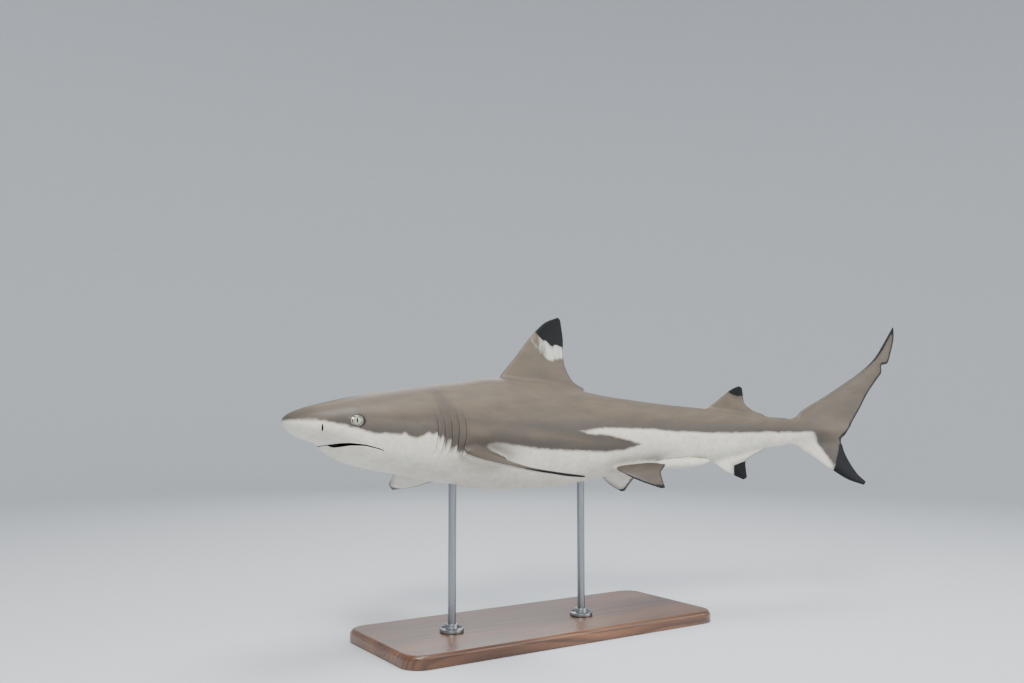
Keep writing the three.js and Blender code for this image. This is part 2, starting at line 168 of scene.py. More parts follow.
def walnut():
    """Growth rings round a heart beside the board's middle, with open pores along the grain."""
    wood = Finish("oiled_walnut", {"Coat Weight": 0.35, "Coat Roughness": 0.22})
    drift = wood.noise(wood.place((1.1, 5.0, 5.0)), 1.6, 2.0) - 0.5
    _, y, z = wood.parts(wood.place())
    across = y + drift * 0.055 - HEART_ACROSS
    depth = z - HEART_DEPTH
    radius = wood.maths("SQRT", across * across + depth * depth)
    rings = wood.maths("FRACT", radius * RINGS_PER_METRE)
    late = wood.step(rings, 0.25, 0.95)
    pores = wood.noise(wood.place((9.0, 900.0, 300.0)), 1.0, 2.0)
    pore = wood.step(pores, 0.60, 0.72)
    figure = wood.noise(wood.place((2.0, 14.0, 14.0)), 1.0, 3.0, 0.6)
    ground = wood.blend(wood.step(figure, 0.3, 0.7), WALNUT_MID, WALNUT_LIGHT)
    ringed = wood.blend(late * 0.62, ground, WALNUT_DARK)
    return wood.wear(
        Base_Color=wood.blend(pore * 0.7, ringed, WALNUT_DARK),
        Roughness=0.34 + pore * 0.2 + figure * 0.08,
        Normal=wood.bump(0.0 - pore - late * 0.15, 0.35, 0.0002),
    )


def rounded_outline(length, width, corner, steps=16):
    """A rectangle with round corners, counter-clockwise from the right end."""
    points = []
    for turn, (right, far) in enumerate([(1, 1), (-1, 1), (-1, -1), (1, -1)]):
        for k in range(steps + 1):
            angle = math.radians(90 * (turn + k / steps))
            points.append((
                right * (length / 2 - corner) + corner * math.cos(angle),
                far * (width / 2 - corner) + corner * math.sin(angle),
            ))
    return points


def ring_faces(counts):
    """Faces over a stack of rings. Where a ring has half as many points, triangles meet it."""
    faces = []
    start = 0
    for here, there in zip(counts, counts[1:]):
        after = start + here
        for j in range(there):
            k = (j + 1) % there
            if here == there:
                faces.append((start + j, start + k, after + k, after + j))
            else:
                middle = start + 2 * j + 1
                faces.append((middle - 1, middle, after + j))
                faces.append((middle, after + k, after + j))
                faces.append((middle, start + (2 * j + 2) % here, after + k))
        start = after
    return faces


def end_faces(points, count):
    """Flat faces over the first and the last ring of a stack."""
    return [tuple(reversed(range(count))), tuple(range(len(points) - count, len(points)))]


def mesh_from(name, points, faces):
    """A mesh from points in millimetres, its faces turned outwards."""
    mesh = bpy.data.meshes.new(name)
    places = np.asarray(points, float) / METRE
    mesh.from_pydata(places.tolist(), [], faces)
    mesh.calc_loop_triangles()
    a, b, c = np.array([places[list(corner.vertices)] for corner in mesh.loop_triangles]).swapaxes(0, 1)
    if (a * np.cross(b, c)).sum() < 0:
        mesh.flip_normals()
    return mesh


def added(name, data):
    """A new object in the scene."""
    made = bpy.data.objects.new(name, data)
    bpy.context.scene.collection.objects.link(made)
    return made


def piece(name, mesh, material, replaced, sharp=35):
    """Puts a finished mesh into the model as the piece that stands for CAD nodes."""
    mesh.shade_smooth()
    mesh.set_sharp_from_angle(angle=math.radians(sharp))
    made = added(name, mesh)
    if material:
        mesh.materials.clear()
        mesh.materials.append(material)
    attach(made, "root")
    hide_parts(*replaced)


def node_box(name):
    """The corners of a CAD node in millimetres."""
    low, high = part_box(name)
    return np.array(low) * METRE, np.array(high) * METRE


def moulded_edge(height):
    """The board's edge in section: how far in from its side, and how high."""
    side = height - MOULDING_ROUND
    shoulder = side + MOULDING_BEAD
    profile = [(BOARD_FOOT, 0.0), (0.0, BOARD_FOOT), (0.0, side), (MOULDING_STEP, shoulder)]
    for k in range(1, MOULDING_FACETS + 1):
        angle = math.radians(90 * k / MOULDING_FACETS)
        inset = MOULDING_STEP + MOULDING_ROUND * (1 - math.cos(angle))
        profile.append((inset, shoulder + (MOULDING_ROUND - MOULDING_BEAD) * math.sin(angle)))
    return profile


low, high = node_box("stand_base")
length, width, height = high - low
edge = moulded_edge(height)
points = [
    (x, y, up)
    for inset, up in edge
    for x, y in rounded_outline(length - 2 * inset, width - 2 * inset, BOARD_CORNER - inset)
]
count = len(points) // len(edge)
faces = ring_faces([count] * len(edge)) + end_faces(points, count)
piece("stand_board", mesh_from("stand_board", points, faces), walnut(), ["stand_base"])

# ---- The two rods ----
# Round steel bars that stand in the base and run up into the belly. They are ground and brushed
# along their length, and glued into a sleeve inside the casting.

ROD_SIDES = 48
ROD_ENTRY = 5.0
STEEL = paint(176, 179, 182)
STEEL_DARK = paint(120, 123, 128)


def brushed_steel(name, along, across):
    """Steel with fine scratches, from the grain's scale up the axis and the scale across it."""
    steel = Finish(name, {"Metallic": 1.0})
    grain = steel.noise(steel.place((across, across, along)), 1.0, 4.0)
    patch = steel.noise(steel.place(), 30.0, 2.0)
    colour = steel.blend(steel.step(grain, 0.3, 0.8), STEEL_DARK, STEEL)
    return steel.wear(
        Base_Color=colour,
        Roughness=0.24 + grain * 0.16 + patch * 0.08,
        Normal=steel.bump(grain, 0.25, 0.0001),
    )


def turned(profile, sides, middle):
    """Points and faces of a turned part, from (radius, height) pairs."""
    angles = np.linspace(0, 2 * math.pi, sides, endpoint=False)
    points = [
        (middle[0] + radius * math.cos(angle), middle[1] + radius * math.sin(angle), up)
        for radius, up in profile
        for angle in angles
    ]
    return points, ring_faces([sides] * len(profile))


rod_steel = brushed_steel("brushed_rod_steel", 6.0, 2600.0)
for word in ("front", "rear"):
    low, high = node_box(f"stand_rod_{word}")
    radius = (high[0] - low[0]) / 2
    middle = (low + high) / 2
    profile = [
        (radius - 0.8, low[2]), (radius, low[2] + 0.8), (radius, high[2] + ROD_ENTRY - 1.0),
        (radius - 1.0, high[2] + ROD_ENTRY),
    ]
    points, faces = turned(profile, ROD_SIDES, middle)
    mesh = mesh_from(f"stand_rod_bar_{word}", points, faces + end_faces(points, ROD_SIDES))
    piece(mesh.name, mesh, rod_steel, [f"stand_rod_{word}"])

# ---- The collars and their screws ----
# A turned steel flange round the foot of each rod, with a raised neck that grips it. Three
# cap screws with hexagon sockets, evenly spaced, hold it down to the board.

COLLAR_SIDES = 72
FLANGE_HEIGHT = 6.0
NECK_RADIUS = 12.0
SCREW_RADIUS = 2.9
SCREW_HEIGHT = 2.6
SOCKET_RADIUS = 1.5
SOCKET_DEPTH = 1.6
SCREW_COUNT = 3
SCREW_SIDES = 24
BORE_CLEARANCE = 0.15


def collar_profile(bore, radius, floor, top):
    """The collar in section, from its bore out under the flange and up the neck, edges eased."""
    shelf = floor + FLANGE_HEIGHT
    return [
        (bore, floor), (radius - 0.6, floor), (radius, floor + 0.6), (radius, shelf - 1.0),
        (radius - 0.3, shelf - 0.3), (radius - 1.0, shelf), (NECK_RADIUS + 1.6, shelf),
        (NECK_RADIUS + 0.5, shelf + 0.5), (NECK_RADIUS, shelf + 1.6), (NECK_RADIUS, top - 1.4),
        (NECK_RADIUS - 0.4, top - 0.4), (NECK_RADIUS - 1.4, top), (bore + 0.5, top), (bore, top - 0.5),
    ]


def screw_head():
    """A cap screw's head, standing on the origin, with a hexagon socket in its top."""
    profile = [
        (SCREW_RADIUS, 0.0), (SCREW_RADIUS, SCREW_HEIGHT - 0.4), (SCREW_RADIUS - 0.4, SCREW_HEIGHT),
        (SOCKET_RADIUS + 0.25, SCREW_HEIGHT),
    ]
    points, _ = turned(profile, SCREW_SIDES, (0, 0))
    apothem = SOCKET_RADIUS * math.cos(math.pi / 6)
    for depth in (0.15, SOCKET_DEPTH):
        for k in range(SCREW_SIDES):
            angle = 2 * math.pi * k / SCREW_SIDES
            reach = apothem / math.cos((angle + math.pi / 6) % (math.pi / 3) - math.pi / 6)
            points.append((reach * math.cos(angle), reach * math.sin(angle), SCREW_HEIGHT - depth))
    faces = ring_faces([SCREW_SIDES] * (len(profile) + 2))
    return mesh_from("screw_head", points, faces + end_faces(points, SCREW_SIDES))


def screw_circle_nodes():
    """Sets a screw head, given as an object, evenly round a circle."""
    tree = bpy.data.node_groups.new("screw_circle", "GeometryNodeTree")
    inputs = {
        "Screw": "NodeSocketObject", "Middle": "NodeSocketVector", "Circle radius": "NodeSocketFloat",
        "Count": "NodeSocketInt", "Steel": "NodeSocketMaterial",
    }
    sockets = {
        name: tree.interface.new_socket(name, in_out="INPUT", socket_type=kind)
        for name, kind in inputs.items()
    }
    tree.interface.new_socket("Geometry", in_out="OUTPUT", socket_type="NodeSocketGeometry")
    kinds = {
        "given": "NodeGroupInput", "circle": "GeometryNodeMeshCircle", "screw": "GeometryNodeObjectInfo",
        "spread": "GeometryNodeInstanceOnPoints", "move": "GeometryNodeTransform",
        "real": "GeometryNodeRealizeInstances", "finish": "GeometryNodeSetMaterial",
        "result": "NodeGroupOutput",
    }
    nodes = {word: tree.nodes.new(kind) for word, kind in kinds.items()}
    for start, output, end, goal in [
        ("given", "Count", "circle", "Vertices"), ("given", "Circle radius", "circle", "Radius"),
        ("given", "Screw", "screw", "Object"), ("circle", "Mesh", "spread", "Points"),
        ("screw", "Geometry", "spread", "Instance"), ("spread", "Instances", "move", "Geometry"),
        ("given", "Middle", "move", "Translation"), ("move", "Geometry", "real", "Geometry"),
        ("real", "Geometry", "finish", "Geometry"), ("given", "Steel", "finish", "Material"),
        ("finish", "Geometry", "result", "Geometry"),
    ]:
        tree.links.new(nodes[start].outputs[output], nodes[end].inputs[goal])
    return tree, sockets


def settled(changed):
    """A plain mesh of an object with its modifiers applied."""
    evaluated = changed.evaluated_get(bpy.context.evaluated_depsgraph_get())
    return bpy.data.meshes.new_from_object(evaluated)


def grown(name, tree, sockets, values):
    """A plain mesh from a node tree, with its inputs set by their identifiers."""
    carrier = added(name, bpy.data.meshes.new("carrier"))
    nodes = carrier.modifiers.new("nodes", "NODES")
    nodes.node_group = tree
    for label, value in values.items():
        nodes[sockets[label].identifier] = value
    mesh = settled(carrier)
    bpy.data.objects.remove(carrier)
    mesh.name = name
    return mesh


collar_steel = brushed_steel("turned_collar_steel", 1900.0, 60.0)
screw_steel = brushed_steel("screw_steel", 700.0, 700.0)
screw = added("screw_head", screw_head())
tree, sockets = screw_circle_nodes()
for word in ("front", "rear"):
    low, high = node_box(f"stand_collar_{word}")
    rod_low, rod_high = node_box(f"stand_rod_{word}")
    middle = (rod_low + rod_high) / 2
    bore = (rod_high[0] - rod_low[0]) / 2 + BORE_CLEARANCE
    radius = (high[0] - low[0]) / 2
    points, faces = turned(collar_profile(bore, radius, low[2], high[2]), COLLAR_SIDES, middle)
    last = len(points) - COLLAR_SIDES
    for j in range(COLLAR_SIDES):
        k = (j + 1) % COLLAR_SIDES
        faces.append((last + j, last + k, k, j))
    mesh = mesh_from(f"stand_flange_{word}", points, faces)
    piece(mesh.name, mesh, collar_steel, [f"stand_collar_{word}"], 30)
    screws = grown(f"stand_screws_{word}", tree, sockets, {
        "Screw": screw,
        "Middle": (middle[0] / METRE, middle[1] / METRE, (low[2] + FLANGE_HEIGHT) / METRE),
        "Circle radius": (NECK_RADIUS + 0.5 + radius) / 2 / METRE,
        "Count": SCREW_COUNT,
        "Steel": screw_steel,
    })
    piece(screws.name, screws, None, [])
bpy.data.objects.remove(screw)

# ---- The skin ----
# Shade in its creases, slits, mouth and nostrils, and round its fin roots, is painted into its colour.
# One cast skin over the whole animal, with no seam between body, jaw, fins and claspers. It is
# tinted rubber with a satin lacquer: a grey-brown back and flank spear, a pale belly, black tips.
# Its shape is drawn as (back, left, up): along the spine from the snout, to the left, and over it.

AXIS_HEIGHT = 365
PIVOT_BACK = 514
BANK = math.radians(-6)
NOSE_UP = math.radians(2.3)
HEADING_AT = [0, 176, 414, 694, 1002, 1114, 1394]
HEADING = [10.4, 10.4, 0, -16.8, -25.1, -16.5, -7.1]
SPINE_STEP = 5

# Body sections: back, top, bottom, half width, height of the widest line, belly's squareness.
SECTIONS = np.array([
    (0, 1, -2, 2, 0, 2.0), (11, 12, -13, 25, -2, 2.2), (36, 22, -26, 44, -5, 2.4),
    (75, 33, -36, 59, -6, 2.5), (99, 39, -53, 65, -7, 2.4), (129, 46, -66, 70, -8, 2.4),
    (184, 57, -76, 77, -10, 2.3), (254, 70, -86, 82, -10, 2.2), (334, 83, -98, 88, -10, 2.1),
    (424, 96, -107, 90, -8, 2.1), (534, 90, -103, 85, -8, 2.1), (654, 70, -84, 70, -8, 2.1),
    (774, 55, -67, 54, -6, 2.0), (874, 45, -55, 40, -4, 2.0), (974, 31, -34, 28, 0, 2.0),
    (1049, 25, -25, 22, 0, 2.0), (1104, 21, -20, 14, 1, 2.0), (1154, 15, -14, 5, 2, 2.0),
])
BACK_ROUNDNESS = 1.95
BODY_END = 1150
FINE_END = 314
FINE_ROW = 1.9
COARSE_ROW = 6.0
PIT_ROW = 2.0
FINE_COLUMNS = 200
TAIL_PITS = 1039

EYE = {"back": 93, "up": -2, "length": 28, "height": 24, "depth": 18, "sunk": 6.6, "turn": 0.22}
SOCKET_CLEARANCE = 0.25
LIDS = {"length": 22.0, "height": 16.8, "rim": 0.9, "reach": 1.1}
NOSTRIL = {"back": 41, "left": 44, "up": -14, "length": 2.6, "height": 13, "depth": 12, "turn": 0.5}
# The mouth's line as (back, left), and how wide it gapes from its far corner to its near one.
MOUTH_ARCH = [(144, 61.5), (127, 60.6), (108, 57.2), (91, 49), (81, 34.5), (77, 19), (76, 0)]
MOUTH_GAP = [
    (-61.5, 1.3), (-40, 1.5), (-3, 0.7), (2, 1.0), (8, 3.6), (18, 5.2), (28, 5.4), (42, 4.2), (52, 3.1),
    (57, 2.2), (60, 1.8), (61.5, 1.3),
]
MOUTH_DEPTH = 15.0
LIP_REACH = 8
# Gill slits: how far back, then their upper and lower ends in degrees round the body.
GILL_SLITS = [(238, 24, -33), (252, 24, -35), (267, 22, -34), (282, 20, -30), (297, 22, -24)]
GILL_BOW = 2.6
# The body's swellings and, where negative, hollows: along it in millimetres, round it in degrees.
BULGES = [
    (-1.0, 64, 15, -8, 20), (0.7, 46, 3.4, -22, 13), (1.6, 172, 26, -38, 16),
    (-0.9, 206, 12, -62, 22), (-2.2, 1042, 4, 90, 38), (-1.8, 1035, 4, -90, 38),
]


def eased(keys, values, at):
    """A smooth curve through values at keys that never overshoots them."""
    keys = np.asarray(keys, float)
    values = np.asarray(values, float)
    gaps = np.diff(keys)
    rises = np.diff(values) / gaps
    slopes = np.zeros(len(keys))
    slopes[0] = rises[0]
    slopes[-1] = rises[-1]
    for i in range(1, len(keys) - 1):
        if rises[i - 1] * rises[i] > 0:
            before = 2 * gaps[i] + gaps[i - 1]
            after = gaps[i] + 2 * gaps[i - 1]
            slopes[i] = (before + after) / (before / rises[i - 1] + after / rises[i])
    at = np.clip(at, keys[0], keys[-1])
    i = np.clip(np.searchsorted(keys, at, side="right") - 1, 0, len(keys) - 2)
    u = (at - keys[i]) / gaps[i]
    w = 1 - u
    return (
        (1 + 2 * u) * w * w * values[i] + u * w * w * gaps[i] * slopes[i]
        + u * u * (3 - 2 * u) * values[i + 1] - u * u * w * gaps[i] * slopes[i + 1]
    )


spine_back = np.arange(0, HEADING_AT[-1] + 1, SPINE_STEP)
step_heading = np.radians(eased(HEADING_AT, HEADING, spine_back[:-1] + SPINE_STEP / 2))
spine_x = np.concatenate([[0], np.cumsum(SPINE_STEP * np.cos(step_heading))])
spine_y = np.concatenate([[0], np.cumsum(SPINE_STEP * np.sin(step_heading))])
pivot_x = np.interp(PIVOT_BACK, spine_back, spine_x)
pivot_y = np.interp(PIVOT_BACK, spine_back, spine_y)
stand_turn = np.array(Matrix.Rotation(BANK, 3, "X") @ Matrix.Rotation(NOSE_UP, 3, "Y"))


def placed(points, carrier=None):
    """Points bent along the spine, or carried stiffly by the spine at one place, on the stand."""
    back, left, up = np.moveaxis(np.asarray(points, float), -1, 0)
    at = back if carrier is None else np.full_like(back, carrier)
    heading = np.radians(eased(HEADING_AT, HEADING, at))
    behind = back - at
    x = np.interp(at, spine_back, spine_x) + behind * np.cos(heading) + left * np.sin(heading)
    y = np.interp(at, spine_back, spine_y) + behind * np.sin(heading) - left * np.cos(heading)
    turned_points = np.stack([x - pivot_x, y - pivot_y, up], -1) @ stand_turn.T
    return turned_points + [0, 0, AXIS_HEIGHT]


def section(back):
    """Top, bottom, half width, widest height and belly squareness at places along the body."""
    roots = np.sqrt(SECTIONS[:, 0])
    return [eased(roots, SECTIONS[:, k], np.sqrt(np.maximum(back, 0))) for k in range(1, 6)]


def outline(back, above):
    """Half width, widest height, rise from it to the back or belly, and that half's squareness."""
    top, bottom, half, widest, belly = section(back)
    rise = np.where(above, top - widest, widest - bottom)
    return half, widest, rise, np.where(above, BACK_ROUNDNESS, belly)


def plain_skin(back, angle, grow=0.0):
    """The body's outline at angles round it: 0 is the left side, a quarter turn is the back."""
    c = np.cos(angle)
    s = np.sin(angle)
    half, widest, rise, square = outline(back, s >= 0)
    left = (half + grow) * np.sign(c) * np.abs(c) ** (2 / square)
    return left, widest + (rise + grow) * np.sign(s) * np.abs(s) ** (2 / square)


def hump(value, middle, spread):
    return np.exp(-((value - middle) / spread) ** 2)


def humps(table, back, round_body):
    """A sum of humps: how high each is, then its middle and spread along and round the body."""
    return sum(
        height * hump(back, middle, spread) * hump(round_body, aim, width)
        for height, middle, spread, aim, width in table
    )


def underside(back, left):
    """The height of the plain body's underside."""
    half, widest, drop, square = outline(back, False)
    across = np.clip(np.abs(left) / half, 0, 1)
    return widest - drop * (1 - across ** square) ** (1 / square)


def flank(back, up):
    """How far out the plain body's side is at a height."""
    half, widest, rise, square = outline(back, up >= section(back)[3])
    return half * (1 - np.clip(np.abs(up - widest) / rise, 0, 1) ** square) ** (1 / square)


def lid_oval(back, up):
    """A place against the lids' oval opening, whose rim is 1 away from its middle."""
    return (back - EYE["back"]) / (LIDS["length"] / 2), (up - EYE["up"]) / (LIDS["height"] / 2)


def lid_relief(back, up):
    """Lids that meet the eyeball round an oval opening, with a rim and a fold behind it."""
    along, across = lid_oval(back, up)
    ring = np.maximum(np.hypot(along, across), 1e-3)
    rim_back = along / ring * LIDS["length"] / 2
    rim_up = across / ring * LIDS["height"] / 2
    inside = (2 * rim_back / EYE["length"]) ** 2 + (2 * rim_up / EYE["height"]) ** 2
    eye_left = section(EYE["back"])[2] - EYE["sunk"]
    eyeball = eye_left + EYE["depth"] / 2 * np.sqrt(1 - inside) + rim_back * math.tan(EYE["turn"])
    short = eyeball - flank(EYE["back"] + rim_back, EYE["up"] + rim_up)
    away = np.clip((ring - 1) / LIDS["reach"], 0, 1)
    fall = (1 - away) ** 2 * (1 + 2 * away)
    behind = np.clip(0.4 + 0.9 * along / ring, 0, 1)
    return (
        short * fall + LIDS["rim"] * hump(ring, 1.14, 0.12)
        - 0.45 * behind * hump(ring, 1.36, 0.08) + 0.3 * behind * hump(ring, 1.52, 0.1)
    )


def arch_back(left):
    """How far back the mouth's arch is at a distance from the midline."""
    backs, lefts = zip(*MOUTH_ARCH[::-1])
    return eased(lefts, backs, np.abs(left))


def gill_place(back, lift, slit, high_end, low_end):
    """How open a gill slit is at a place, and how far behind the slit the place lies."""
    t = (2 * lift - high_end - low_end) / (high_end - low_end)
    bow = GILL_BOW * (1 - t * t) + 0.5 * np.sin(5 * t + slit)
    return np.clip(1 - np.abs(t) ** 3, 0, 1), back - slit - bow


def relief(back, angle):
    """How far the skin stands proud of the plain body, or in from it where negative."""
    left, up = plain_skin(back, angle)
    side = np.abs(left)
    lift = np.degrees(np.arcsin(np.sin(angle)))
    near_eye = (np.abs(back - EYE["back"]) < 30) & (np.abs(up - EYE["up"]) < 26) & (side > 30)
    rise = np.where(near_eye, lid_relief(back, up), 0.0)
    rise += 1.3 * hump(up, 17, 8) * hump(back, 92, 20) * (side > 20)
    rise += humps(BULGES, back, lift)
    past = back - arch_back(side)
    jaw = np.clip((-20 - lift) / 12, 0, 1) * np.clip((63 - side) / 3, 0, 1)
    chin = np.clip((past - 0.5) / 3.5, 0, 1) * np.exp(-(np.maximum(past, 0) / 22) ** 2)
    rise += jaw * (chin * (3.2 - 2.4 * np.clip((side - 22) / 26, 0, 1)) - 0.9 * hump(past, -5, 5))
    for slit, high_end, low_end in GILL_SLITS:
        open_part, past = gill_place(back, lift, slit, high_end, low_end)
        rise += open_part * (
            1.0 * hump(past, -2.8, 2.4) - 0.8 * hump(past, 3.2, 3.0) - 2.6 * hump(past, 0, 0.8)
        )
    return rise


def body_rows():
    """Where the body's rings lie: close at the snout, the eyes and the gill slits."""
    rows = [0.0]
    while rows[-1] < BODY_END:
        back = rows[-1]
        from_eye = max(0, abs(back - EYE["back"]) - 13)
        from_slit = max(0, min(abs(back - GILL_BOW * 0.6 - slit[0]) for slit in GILL_SLITS) - 2)
        plain = FINE_ROW if back < FINE_END else COARSE_ROW
        if abs(back - TAIL_PITS) < 16:
            plain = PIT_ROW
        spacing = min(plain, 0.03 + 0.34 * math.sqrt(back), 0.95 + 0.05 * from_eye, 0.5 + 0.16 * from_slit)
        rows.append(min(BODY_END, back + spacing))
    return rows


def body_columns():
    """Angles round the body from the middle of the belly, closer together along the sides."""
    fine = np.linspace(-math.pi / 2, 1.5 * math.pi, 2881)
    crowd = 1 + 1.2 * hump(fine, 0, 0.45) + 1.2 * hump(fine, math.pi, 0.45)
    total = np.concatenate([[0], np.cumsum((crowd[1:] + crowd[:-1]) / 2)])
    return np.interp(np.arange(FINE_COLUMNS) / FINE_COLUMNS * total[-1], total, fine)


# Where the markings' edges run, as (back, up) on the flank and (up, back) on the tail. The pale
# band over the spear lies below the back's edge, and its half width is given along the body.
FLANK_EDGE = [
    (0, -1), (14, -2), (34, -4), (54, -7), (72, -9), (83, -12), (93, -14), (103, -17), (123, -21),
    (165, -23), (175, -21), (183, -25), (198, -28), (206, -25), (220, -19), (236, -21), (248, -31),
    (257, -37), (272, -42), (295, -46), (331, -40), (374, -30), (397, -33), (443, -38), (514, -41),
    (600, -42), (657, -40), (678, -36), (713, -26), (740, -16), (792, -8), (880, -10), (1150, -7),
]
BACK_EDGE = [(500, -9), (585, -5), (609, -2), (637, 0), (701, 0), (792, -4), (880, -6), (1150, -3)]
BAND_WIDTH = [(440, -14), (548, -3), (585, 2), (609, 3.5), (637, 5.5), (667, 8.5), (713, 14.5), (760, 22)]
TAIL_EDGE = [(-75, 1134), (-48, 1115), (-28, 1098), (-11, 1089), (-2, 1077), (4, 1060), (30, 1010)]
# Painted shade: soft grey patches round the roots of the pectoral and pelvic fins.
FIN_ROOT_SHADE = [
    (1.1, 362, 46, -46, 24), (1.1, 300, 9, -46, 13), (0.7, 742, 34, -55, 15), (1.0, 690, 50, -66, 13),
]


def curve(pairs, at):
    keys, values = zip(*pairs)
    return eased(keys, values, at)


def darkness(back, up):
    """How far inside the dark marking a place is, negative in the pale belly and band."""
    band = curve(BAND_WIDTH, back)
    band_middle = curve(BACK_EDGE, back) - band
    flank_dark = np.minimum(up - curve(FLANK_EDGE, back), np.abs(up - band_middle) - band)
    gills = hump(back, 264, 28)
    tongues = 5.0 * np.sin(0.42 * back) + 2.0 * np.sin(1.0 * back + 1)
    flank_dark = (flank_dark + tongues * gills) * (1 - 0.72 * gills)
    return np.maximum(flank_dark, 0.45 * (back - curve(TAIL_EDGE, up)))


def fin_root_shade(back, left, up):
    """How strong the painted shade round the fin roots is, which fades out under the belly."""
    return np.clip(humps(FIN_ROOT_SHADE, back, up) * np.clip(np.abs(left) / 14 - 0.6, 0, 1), 0, 1)


def shade_lines(back, angle):
    """Painted shade: dark lines along the lids' rim, the bottoms of the gill slits and the armpit fold."""
    left, up = plain_skin(back, angle)
    along, across = lid_oval(back, up)
    low = np.clip(0.9 - 0.3 * across, 0, 1)
    dark = low * hump(np.hypot(along, across), 1.04, 0.13) * (np.abs(left) > 30)
    lift = np.degrees(np.arcsin(np.sin(angle)))
    for slit, high_end, low_end in GILL_SLITS:
        open_part, past = gill_place(back, lift, slit, high_end, low_end)
        dark += 0.75 * open_part * hump(past, 0.1, 0.75)
    fold = back - 420 - 2.2 * (up + 85)
    dark += 0.4 * hump(fold, 0, 3.0) * hump(up, -82, 5) * (left > 0)
    return np.clip(dark, 0, 1)


# A distance beyond every mark's reach.
FAR = 60.0


def store(mesh, name, values):
    """Keeps a vector for each point of a mesh or, from a plain row of values, one per face."""
    per_point = values.ndim > 1
    kind = ("FLOAT_VECTOR", "POINT") if per_point else ("FLOAT", "FACE")
    layer = mesh.attributes.get(name) or mesh.attributes.new(name, *kind)
    layer.data.foreach_set("vector" if per_point else "value", values.astype(np.float32).ravel())


def stored(mesh, name):
    """The vectors that a mesh keeps for its points."""
    values = np.zeros((len(mesh.vertices), 3), np.float32)
    mesh.attributes[name].data.foreach_get("vector", values.ravel())
    return values


def skin_part(name, points, faces, fields, carrier=None):
    """A closed part of the skin with its marking fields stored on its points."""
    mesh = mesh_from(name, placed(points, carrier), faces)
    for field in ("marks", "detail"):
        columns = [np.broadcast_to(fields.get((field, k), 0.0), len(points)) for k in range(3)]
        store(mesh, field, np.stack(columns, 1))
    return added(name, mesh)


def capped(rings):
    """Points and faces of a closed loft: its end rings are closed with fans."""
    counts = [len(ring) for ring in rings]
    points = np.concatenate(rings)
    faces = ring_faces(counts)
    first = len(points)
    last_start = first - counts[-1]
    for j in range(counts[0]):
        faces.append((first, (j + 1) % counts[0], j))
    for j in range(counts[-1]):
        faces.append((first + 1, last_start + j, last_start + (j + 1) % counts[-1]))
    ends = [rings[0].mean(0), rings[-1].mean(0)]
    return np.concatenate([points, ends]), faces


def body():
    """The body without its fins and claspers, in rings of fewer points behind the gills."""
    columns = body_columns()
    rings = []
    lines = []
    for back in body_rows():
        angles = columns if back < FINE_END else columns[::2]
        backs = np.full(len(angles), back)
        left, up = plain_skin(backs, angles, relief(backs, angles))
        rings.append(np.stack([backs, left, up], 1))
        lines.append(shade_lines(backs, angles))
    points, faces = capped(rings)
    back, left, up = points.T
    return skin_part("skin_body", points, faces, {
        ("marks", 0): darkness(back, up),
        ("marks", 1): -FAR,
        ("marks", 2): fin_root_shade(back, left, up),
        # Painted shade along the lids' rim, the gill slits and the armpit fold.
        ("detail", 0): np.concatenate(lines + [[0, 0]]),
        ("detail", 1): FAR,
    })


# Fins. A rib is a chord from the leading to the trailing edge: back, up, back, up.
FIN_EDGE = 0.6
FIN_ACROSS = 24
FIN_FATTEST = 0.35
TIP_REACH = 1.6
FIRST_DORSAL = {"root": 19, "tip": 3, "fillet": 8, "rim": (1.2, 1.2), "ribs": [
    (407, 60, 580, 60), (432, 97, 616, 80), (471, 141, 592, 96), (491, 166, 576, 124),
    (513, 190, 572, 150), (536, 210, 573, 178), (562, 221, 569, 214),
]}
SECOND_DORSAL = {"root": 9, "tip": 2, "fillet": 5, "rim": (1.0, 1.0), "ribs": [
    (856, 30, 966, 20), (872, 47, 995, 30), (895, 64, 966, 42),
    (916, 80, 950, 57), (928, 87, 948, 74), (939, 91, 947, 86),
]}
ANAL = {"root": 9, "tip": 2, "fillet": 5, "rim": (1.2, 1.0), "ribs": [
    (849, -34, 956, -22), (866, -52, 989, -33), (883, -64, 964, -45),
    (901, -76, 945, -58), (921, -87, 944, -75), (936, -94, 945, -89),
]}
TAIL_UPPER = {"root": 16, "tip": 3, "fillet": 4, "rim": (4.5, 5.0), "ribs": [
    (1029, 15, 1114, -20), (1050, 26, 1150, -21), (1076, 44, 1174, 3), (1127, 71, 1206, 42),
    (1181, 101, 1234, 80), (1209, 117, 1260, 108), (1233, 132, 1275, 124), (1254, 148, 1277, 139),
    (1271, 165, 1293, 144), (1285, 182, 1306, 168), (1297, 197, 1318, 200), (1318, 223, 1320, 220),
]}
TAIL_LOWER = {"root": 14, "tip": 3, "fillet": 4, "rim": (4.5, 2.0), "ribs": [
    (1029, -12, 1134, 5), (1046, -25, 1156, -21), (1088, -51, 1162, -42),
    (1128, -77, 1172, -62), (1166, -98, 1190, -87), (1202, -109, 1208, -102),
]}
